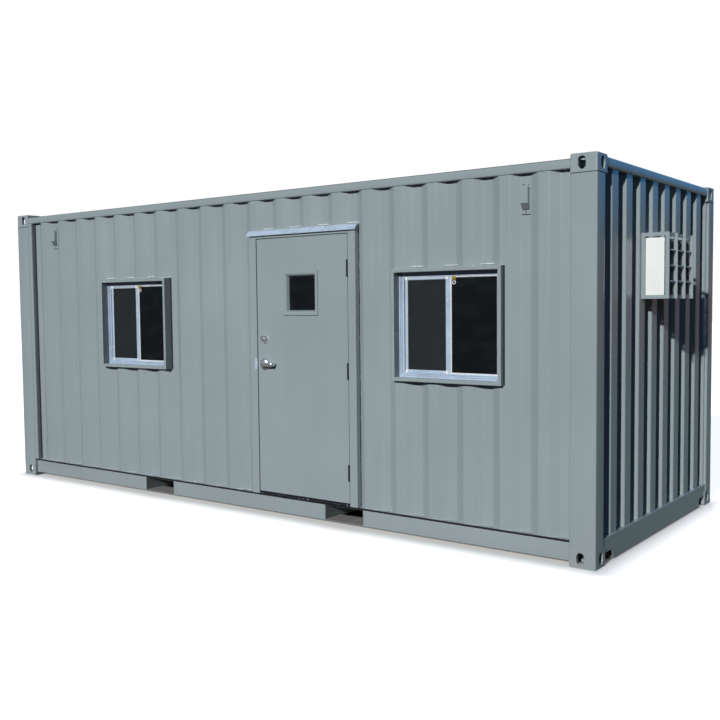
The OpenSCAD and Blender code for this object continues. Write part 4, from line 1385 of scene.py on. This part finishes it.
class CABIN_OT_door(bpy.types.Operator):
    """Makes the door's leaf, frame, vision panel and sweep"""

    bl_idname = "cabin.door"
    bl_label = "Door"

    def execute(self, context):
        plate = steel().plate_round
        rounded_copy("door_leaf", "leaf", plate, "paint", "door")
        rounded_copy("door_jambs", "jambs", plate, "frame_paint")
        rounded_copy("door_head", "head", plate, "frame_paint")
        rounded_copy("door_threshold", "threshold", plate * 2, "tread")
        strip_edge = 0.0004
        rounded_copy("drip_cap", "cap", strip_edge, "mill")
        rounded_copy("vision_panel_glass", "vision_pane", FINE_EDGE, "glass", "door")
        self.trim()
        self.sweep()
        return {"FINISHED"}

    @staticmethod
    def trim():
        """Pressed trim on both faces of the leaf, with a slope to the glass."""
        wide = LITE[0].x - TRIM[0].x
        thick = LEAF[0].y - TRIM[0].y
        stop = 0.009
        gap = 0.001
        ease = 0.003
        inner = wide + stop
        hidden = wide + 0.0005
        deep = LITE[0].y - TRIM[0].y - gap
        front = ((0.0, thick), (0.0, ease), (ease, 0.0), (wide * 0.62, 0.0), (wide, thick * 0.8),
                 (inner, deep), (hidden, deep), (hidden, thick))
        back_deep = TRIM[1].y - LITE[1].y - gap
        back = tuple((u, -min(v, back_deep)) for u, v in front)
        gasket = ((0.0, 0.0), (0.003, 0.0005), (0.003, 0.0009), (0.0, 0.0009))
        bm = bmesh.new()
        add_ring(bm, (TRIM[0].x, TRIM[0].z), (TRIM[1].x, TRIM[1].z), TRIM[0].y, front)
        add_ring(bm, (TRIM[0].x, TRIM[0].z), (TRIM[1].x, TRIM[1].z), TRIM[1].y, back)
        add_piece("vision_trim", mesh_of(bm, True), "paint", "door", ("vision_panel_trim",))
        bm = bmesh.new()
        add_ring(bm, (LITE[0].x + stop, LITE[0].z + stop), (LITE[1].x - stop, LITE[1].z - stop),
                 LITE[0].y - gap, gasket)
        add_piece("vision_gasket", mesh_of(bm, True), "rubber_and_painted_shadow", "door")

    @staticmethod
    def sweep():
        """Rubber strip under the leaf's back edge."""
        edge = 0.006
        near = 0.012
        far = 0.004
        hang = 0.005
        tuck = 0.001
        corner = 0.002
        low = Vector((LEAF[0].x + edge, LEAF[1].y - near, LEAF[0].z - hang))
        high = Vector((LEAF[1].x - edge, LEAF[1].y - far, LEAF[0].z + tuck))
        bm = bmesh.new()
        add_tube(bm, low, high, 0, corner)
        add_piece("door_sweep", mesh_of(bm, True), "rubber_and_painted_shadow", "door")


class CABIN_OT_ironwork(bpy.types.Operator):
    """Makes hinges, lever, roses, deadbolt and strike plate"""

    bl_idname = "cabin.ironwork"
    bl_label = "Door ironwork"

    def execute(self, context):
        strike_edge = 0.0005
        rounded_copy("door_side_hinges", "leaf_hinges", FINE_EDGE, "hinge", "door")
        rounded_copy("frame_side_hinges", "frame_hinges", FINE_EDGE, "hinge")
        rounded_copy("strike_plate", "strike", strike_edge, "mill")
        self.roses()
        self.lever()
        self.deadbolt()
        return {"FINISHED"}

    @staticmethod
    def roses():
        """Domed roses on both faces of the leaf."""
        low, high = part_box("lever_roses")
        wider = 1.14
        r = (high.x - low.x) / 2 * wider
        centre = Vector((SPINDLE.x, 0, SPINDLE.z))
        play = 0.0005
        bore = fittings().lever_stem / 2 + play
        rise = fittings().rose_rise
        dome = ((1.0, 0.0), (1.0, 0.12), (0.985, 0.22), (0.94, 0.36), (0.86, 0.52), (0.75, 0.68),
                (0.62, 0.82), (0.50, 0.92), (0.40, 0.98), (0.32, 1.0))
        bm = bmesh.new()
        for face, tip in ((LEAF[0].y, LEAF[0].y - rise), (LEAF[1].y, LEAF[1].y + rise)):
            curve = [(r * wide, face + (tip - face) * out) for wide, out in dome]
            profile = [(bore, face), *curve, (bore, tip), (bore, face)]
            add_turned(bm, centre, profile, fittings().turned_steps)
        add_piece("roses", mesh_of(bm, True), "chrome", "door", ("lever_roses",))

    @staticmethod
    def lever_route(reach, run, gap):
        """(out, along, half thickness, half height) from inside the leaf to the tip turned back at it."""
        f = fittings()
        thick = f.lever_thick / 2
        tall = f.lever_high / 2
        stem = f.lever_stem / 2
        bend = f.lever_bend
        steps = 6
        shares = [k / steps for k in range(1, steps + 1)]
        turns = [(part, math.pi / 2 * part) for part in shares]
        collar = stem * 1.25
        top = f.rose_rise
        route = [(-stem, 0.0, stem, stem), (top, 0.0, stem, stem), (top + 0.001, 0.0, collar, collar),
                 (top + 0.006, 0.0, collar, collar), (reach - bend, 0.0, stem, stem)]
        route += [(reach - bend * (1 - math.sin(turn)), bend * (1 - math.cos(turn)),
                   stem + (thick - stem) * part, stem + (tall - stem) * part) for part, turn in turns]
        route += [(reach, bend + (run - 2 * bend) * part, thick, tall) for part in shares]
        route += [(reach - bend * (1 - math.cos(turn)), run - bend * (1 - math.sin(turn)),
                   thick, tall * (1 - 0.25 * part)) for part, turn in turns]
        route += [(gap + thick / 3, run, thick, tall * 0.70), (gap, run, thick * 0.7, tall * 0.5)]
        return route

    def lever(self):
        """Oval bar that leaves the spindle, runs along the door and turns back to it at its tip."""
        low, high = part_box("door_lever")
        thick = fittings().lever_thick / 2
        bm = bmesh.new()
        for face, outer, way in ((LEAF[0].y, low.y, -1), (LEAF[1].y, high.y, 1)):
            reach = abs(outer - face) - thick
            route = self.lever_route(reach, high.x - SPINDLE.x, fittings().lever_gap)
            path = [Vector((SPINDLE.x + along, face + way * out, SPINDLE.z)) for out, along, _, _ in route]
            add_swept(bm, path, [(half, tall) for _, _, half, tall in route])
        add_piece("lever", mesh_of(bm, True), "chrome", "lever", ("door_lever",))

    @staticmethod
    def deadbolt():
        """Tapered collar with its key plug outside, and a plain collar inside."""
        low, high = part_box("deadbolt")
        centre = (low + high) / 2
        bigger = 1.06
        lip = 0.003
        ease = 0.001
        r = (high.x - low.x) / 2 * bigger
        f = fittings()
        plug = f.bolt_plug / 2
        front = LEAF[0].y
        rim = low.y + 0.004
        dish = rim + lip
        top = r * 0.80
        outside = ((0.0, front), (r, front), (r, front - lip), (r * 0.985, front - 2 * lip),
                   (top * 1.06, rim + lip), (top, rim), (top * 0.90, rim), (top * 0.84, dish),
                   (plug + ease, dish), (plug, dish - ease), (plug, low.y + ease), (plug - ease, low.y),
                   (0.0, low.y))
        back = LEAF[1].y
        inside = ((0.0, back), (r, back), (r * 0.97, high.y - 2 * lip), (r * 0.82, high.y), (0.0, high.y))
        bm = bmesh.new()
        add_turned(bm, centre, outside, f.turned_steps)
        add_turned(bm, centre, inside, f.turned_steps)
        add_piece("deadbolt_rose", mesh_of(bm, True), "chrome", "door", ("deadbolt",))
        # Black slit on the key plug: painted shade of the key slot.
        bm = bmesh.new()
        slot = Vector((0.0014, 0.0004, 0.0065))
        mid = Vector((centre.x, low.y, centre.z))
        add_tube(bm, mid - slot, mid + slot, 1, ease)
        add_piece("keyway_shadow", mesh_of(bm, True), "rubber_and_painted_shadow", "door")


# Cooler and vents

class CABIN_OT_cooler(bpy.types.Operator):
    """Makes the air conditioner's casing, fins and guard cage"""

    bl_idname = "cabin.cooler"
    bl_label = "Air conditioner"

    def execute(self, context):
        casing_edge = 0.0035
        bar_edge = 0.0012
        coil_edge = 0.002
        rounded_copy("ac_casing", "cooler_casing", casing_edge, "casing")
        rounded_copy("ac_guard_cage", "guard_cage", bar_edge, "paint")
        rounded_copy("ac_coil", "coil_block", coil_edge, "coil")
        self.coil_return()
        return {"FINISHED"}

    @staticmethod
    def coil_return():
        """Part of the coil that wraps round the casing's far side, and the fins in front of both."""
        f = fittings()
        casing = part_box("ac_casing")[1]
        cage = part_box("ac_guard_cage")[1]
        clear = 0.010
        corner = 0.004
        short = 0.01
        far = cage.y - clear
        bm = bmesh.new()
        add_tube(bm, Vector((COIL[0].x, casing.y, COIL[0].z)), Vector((casing.x, far, COIL[1].z)), 2, corner)
        add_piece("coil_return", mesh_of(bm, True), "coil")
        near = COIL[0].y + f.fin_pitch / 2
        middle = (COIL[0].z + COIL[1].z) / 2
        reach = 0.013
        fins = grow("bar_row", "coil", First=(casing.x + reach / 2, near, middle), Step=(0, f.fin_pitch, 0),
                    Size=(reach, f.fin, COIL[1].z - COIL[0].z - short), Count=int((far - near) / f.fin_pitch))
        add_piece("coil_fins", fins, "coil")


class CABIN_OT_vents(bpy.types.Operator):
    """Makes the two wall vents with their screws"""

    bl_idname = "cabin.vents"
    bl_label = "Wall vents"

    def execute(self, context):
        cover_edge = 0.0009
        sunk = 0.002
        from_top = 0.012
        from_foot = 0.014
        rounded_copy("wall_vents", "vents", cover_edge, "frame_paint")
        places = []
        back = VENTS[1].y - sunk
        for low, high in island_boxes("wall_vents"):
            middle = (low.x + high.x) / 2
            spread = (high.x - low.x) * 0.3
            top = high.z - from_top
            places += [(middle - spread, back, top), (middle + spread, back, top),
                       (middle, back, low.z + from_foot)]
        mesh = bpy.data.meshes.new("places")
        mesh.from_pydata(places, [], [])
        heads = grow("screws", "hinge", mesh, Radius=fittings().screw, Facing=(math.pi / 2, 0, 0))
        add_piece("vent_screws", heads, "hinge")
        self.undersides()
        return {"FINISHED"}

    @staticmethod
    def undersides():
        """Slanted plate under each cover, and a black strip under each vent as painted shadow under its
        plate.
        """
        plates = bmesh.new()
        shadow_strips = bmesh.new()
        tuck = 0.0012
        thick = 0.006
        stand_off = 0.009
        drop = 0.040
        shadow_deep = 0.006
        shadow_low = 0.003
        shadow_high = 0.0005
        shadow_round = 0.0015
        for points in islands("wall_vents"):
            low, high = corners_of(points)
            cover = corners_of([p for p in points if p.y < VENTS[0].y + tuck])
            top = (VENTS[0].y + tuck, cover[0].z + tuck)
            foot = (VENTS[1].y - stand_off, cover[0].z - drop)
            outline = (top, foot, (foot[0] + thick, foot[1]), (top[0] + thick, top[1]))
            add_prism(plates, outline, 0, cover[0].x + tuck, cover[1].x - tuck)
            add_tube(shadow_strips, Vector((low.x, VENTS[1].y - shadow_deep, low.z - shadow_low)),
                     Vector((high.x, VENTS[1].y, low.z + shadow_high)), 0, shadow_round)
        add_piece("vent_plates", mesh_of(plates, True), "worn_plate")
        add_piece("vent_shadow_strips", mesh_of(shadow_strips, True), "rubber_and_painted_shadow")


# Stage

FILL_SIZE = math.radians(25)
FILL_TOWARDS = Vector((-0.6, 1.0, 0.55))


def floor_finish():
    """Pale floor that dims softly under and round the cabin."""
    f = Finish("stage_floor", emission_strength=stage().floor_glow)
    edge = TOP_CASTINGS[1]
    out_x = f.sum("ABSOLUTE", f.axis(0)) - edge.x
    out_y = f.sum("ABSOLUTE", f.axis(1)) - edge.y
    past_x = f.sum("MAXIMUM", out_x, 0.0)
    past_y = f.sum("MAXIMUM", out_y, 0.0)
    sun_reach = 0.20
    fade = 0.06
    under = f.limit(f.sum("MINIMUM", 0.0 - out_x, 0.0 - out_y - sun_reach) / fade)
    away = f.sum("SQRT", past_x * past_x + past_y * past_y) / stage().contact
    contact_shade = (0.25, 0.25, 0.25)
    deep_shade = (0.012, 0.014, 0.014)
    glow = f.mix(f.limit(away), contact_shade, WHITE)
    f.feed("Emission Color", f.mix(under, glow, BLACK))
    pale = f.mix(f.noise(0.8), finish().floor, scaled(finish().floor, 0.97))
    f.feed("Base Color", f.mix(under, pale, deep_shade))
    f.feed("Roughness", 0.75 + 0.1 * f.noise(3.0))
    return f.material


def backdrop_finish():
    level = stage().backdrop
    return Finish("backdrop", base_color=BLACK, emission_color=(level, level, level),
                  emission_strength=1.0, roughness=1.0).material


class CABIN_OT_stage(bpy.types.Operator):
    """Sets the floor, the backdrop, the light and the camera"""

    bl_idname = "cabin.stage"
    bl_label = "Stage"

    def execute(self, context):
        self.floor()
        self.backdrop()
        self.light(context.scene)
        self.camera(context.scene)
        return {"FINISHED"}

    @staticmethod
    def stand(name, bm, finish_made):
        mesh = bpy.data.meshes.new(name)
        bm.to_mesh(mesh)
        bm.free()
        mesh.materials.append(finish_made)
        piece = bpy.data.objects.new(name, mesh)
        bpy.context.scene.collection.objects.link(piece)
        return piece

    @staticmethod
    def hide_from(piece, *rays):
        for ray in rays:
            setattr(piece, f"visible_{ray}", False)

    def floor(self):
        bm = bmesh.new()
        below = 0.0005
        bmesh.ops.create_circle(bm, cap_ends=True, segments=64, radius=stage().reach,
                                matrix=Matrix.Translation((0, 0, -below)))
        floor = self.stand("floor", bm, floor_finish())
        self.hide_from(floor, "diffuse", "glossy")

    def backdrop(self):
        """A pale dome that only the camera sees."""
        bm = bmesh.new()
        bmesh.ops.create_uvsphere(bm, u_segments=48, v_segments=24, radius=stage().reach)
        dome = self.stand("backdrop", bm, backdrop_finish())
        self.hide_from(dome, "diffuse", "glossy", "transmission", "volume_scatter", "shadow")

    @staticmethod
    def sky(world):
        """Dim sky and ground, and a brighter band behind the cabin that shows in the end wall's gloss."""
        s = stage()
        g = Graph(world.node_tree)
        towards = g.node("ShaderNodeSeparateXYZ", None,
                         {"Vector": g.add("ShaderNodeTexCoord", out="Generated")})
        rise = Value(g, towards.outputs[2])
        back_from = 0.82
        back_blur = 0.08
        behind = g.limit((Value(g, towards.outputs[1]) - back_from) / back_blur)
        above = g.mix(g.limit(rise * 1.6), s.sky_low, s.sky_high)
        horizon_blur = 0.05
        ahead = g.mix(g.limit(rise / horizon_blur + 0.5), s.ground, above)
        bands = ((-0.055, s.back_gravel), (-0.040, s.back_earth), (0.030, s.back_earth), (0.045, s.back_haze),
                 (0.075, s.back_haze), (0.120, s.back_sky))
        spread = 0.2
        stops = tuple((0.5 + place / spread / 2, tuple(tint)) for place, tint in bands)
        back_view = g.add("ShaderNodeValToRGB", {"stops": stops}, {"Fac": rise / spread / 2 + 0.5})
        both = g.mix(behind, ahead, back_view)
        back = g.add("ShaderNodeBackground", None, {"Color": both})
        g.node("ShaderNodeOutputWorld", None, {"Surface": back})

    @staticmethod
    def lamp(scene, name, energy, size, towards):
        data = bpy.data.lights.new(name, "SUN")
        data.energy = energy
        data.angle = size
        lamp = bpy.data.objects.new(name, data)
        lamp.rotation_mode = "QUATERNION"
        lamp.rotation_quaternion = towards.to_track_quat("Z", "Y")
        scene.collection.objects.link(lamp)

    def light(self, scene):
        """Low key lamp at the door side, and a soft fill that only reaches the back and the left end."""
        s = stage()
        level = math.cos(s.sun_height)
        across = math.sin(s.sun_turn) * level
        towards = Vector((across, -math.cos(s.sun_turn) * level, math.sin(s.sun_height)))
        self.lamp(scene, "key", s.sun, s.sun_size, towards)
        self.lamp(scene, "fill", s.fill, FILL_SIZE, FILL_TOWARDS)
        world = bpy.data.worlds.new("sky")
        world.use_nodes = True
        self.sky(world)
        scene.world = world
        scene.view_settings.view_transform = "Standard"

    @staticmethod
    def camera(scene):
        s = stage()
        data = bpy.data.cameras.new("camera")
        data.lens = s.lens
        data.clip_end = 3 * s.reach
        camera = bpy.data.objects.new("camera", data)
        turn = Matrix.Rotation(s.turn, 4, "Z")
        drop = Matrix.Rotation(math.pi / 2 - s.drop, 4, "X")
        roll = Matrix.Rotation(s.roll, 4, "Z")
        camera.matrix_world = Matrix.Translation(s.place) @ turn @ drop @ roll
        scene.collection.objects.link(camera)
        scene.camera = camera


class CABIN_PT_panel(bpy.types.Panel):
    """Lists the steps that dress the cabin"""

    bl_label = "Container Cabin"
    bl_idname = "CABIN_PT_panel"
    bl_space_type = "VIEW_3D"
    bl_region_type = "UI"
    bl_category = "Cabin"

    def draw(self, context):
        for step in STEPS:
            self.layout.operator(step.bl_idname)
        for group in GROUPS:
            settings = getattr(context.scene, group)
            for key in settings.__annotations__:
                self.layout.prop(settings, key)


STEPS = (CABIN_OT_walls, CABIN_OT_frame, CABIN_OT_beads, CABIN_OT_windows, CABIN_OT_door, CABIN_OT_ironwork,
         CABIN_OT_cooler, CABIN_OT_vents, CABIN_OT_stage)
GROUPS = {"cabin_steel": CabinSteel, "cabin_fittings": CabinFittings, "cabin_finish": CabinFinish,
          "cabin_stage": CabinStage}


def register():
    for cls in (*GROUPS.values(), *STEPS, CABIN_PT_panel):
        bpy.utils.register_class(cls)
    for name, cls in GROUPS.items():
        setattr(bpy.types.Scene, name, PointerProperty(type=cls))


def unregister():
    for name in GROUPS:
        delattr(bpy.types.Scene, name)
    for cls in (CABIN_PT_panel, *reversed(STEPS), *reversed(GROUPS.values())):
        bpy.utils.unregister_class(cls)


def main():
    register()
    bpy.ops.cabin.stage()
    bpy.ops.cabin.walls()
    bpy.ops.cabin.frame()
    bpy.ops.cabin.beads()
    bpy.ops.cabin.windows()
    bpy.ops.cabin.door()
    bpy.ops.cabin.ironwork()
    bpy.ops.cabin.cooler()
    bpy.ops.cabin.vents()


if __name__ == "__main__":
    main()
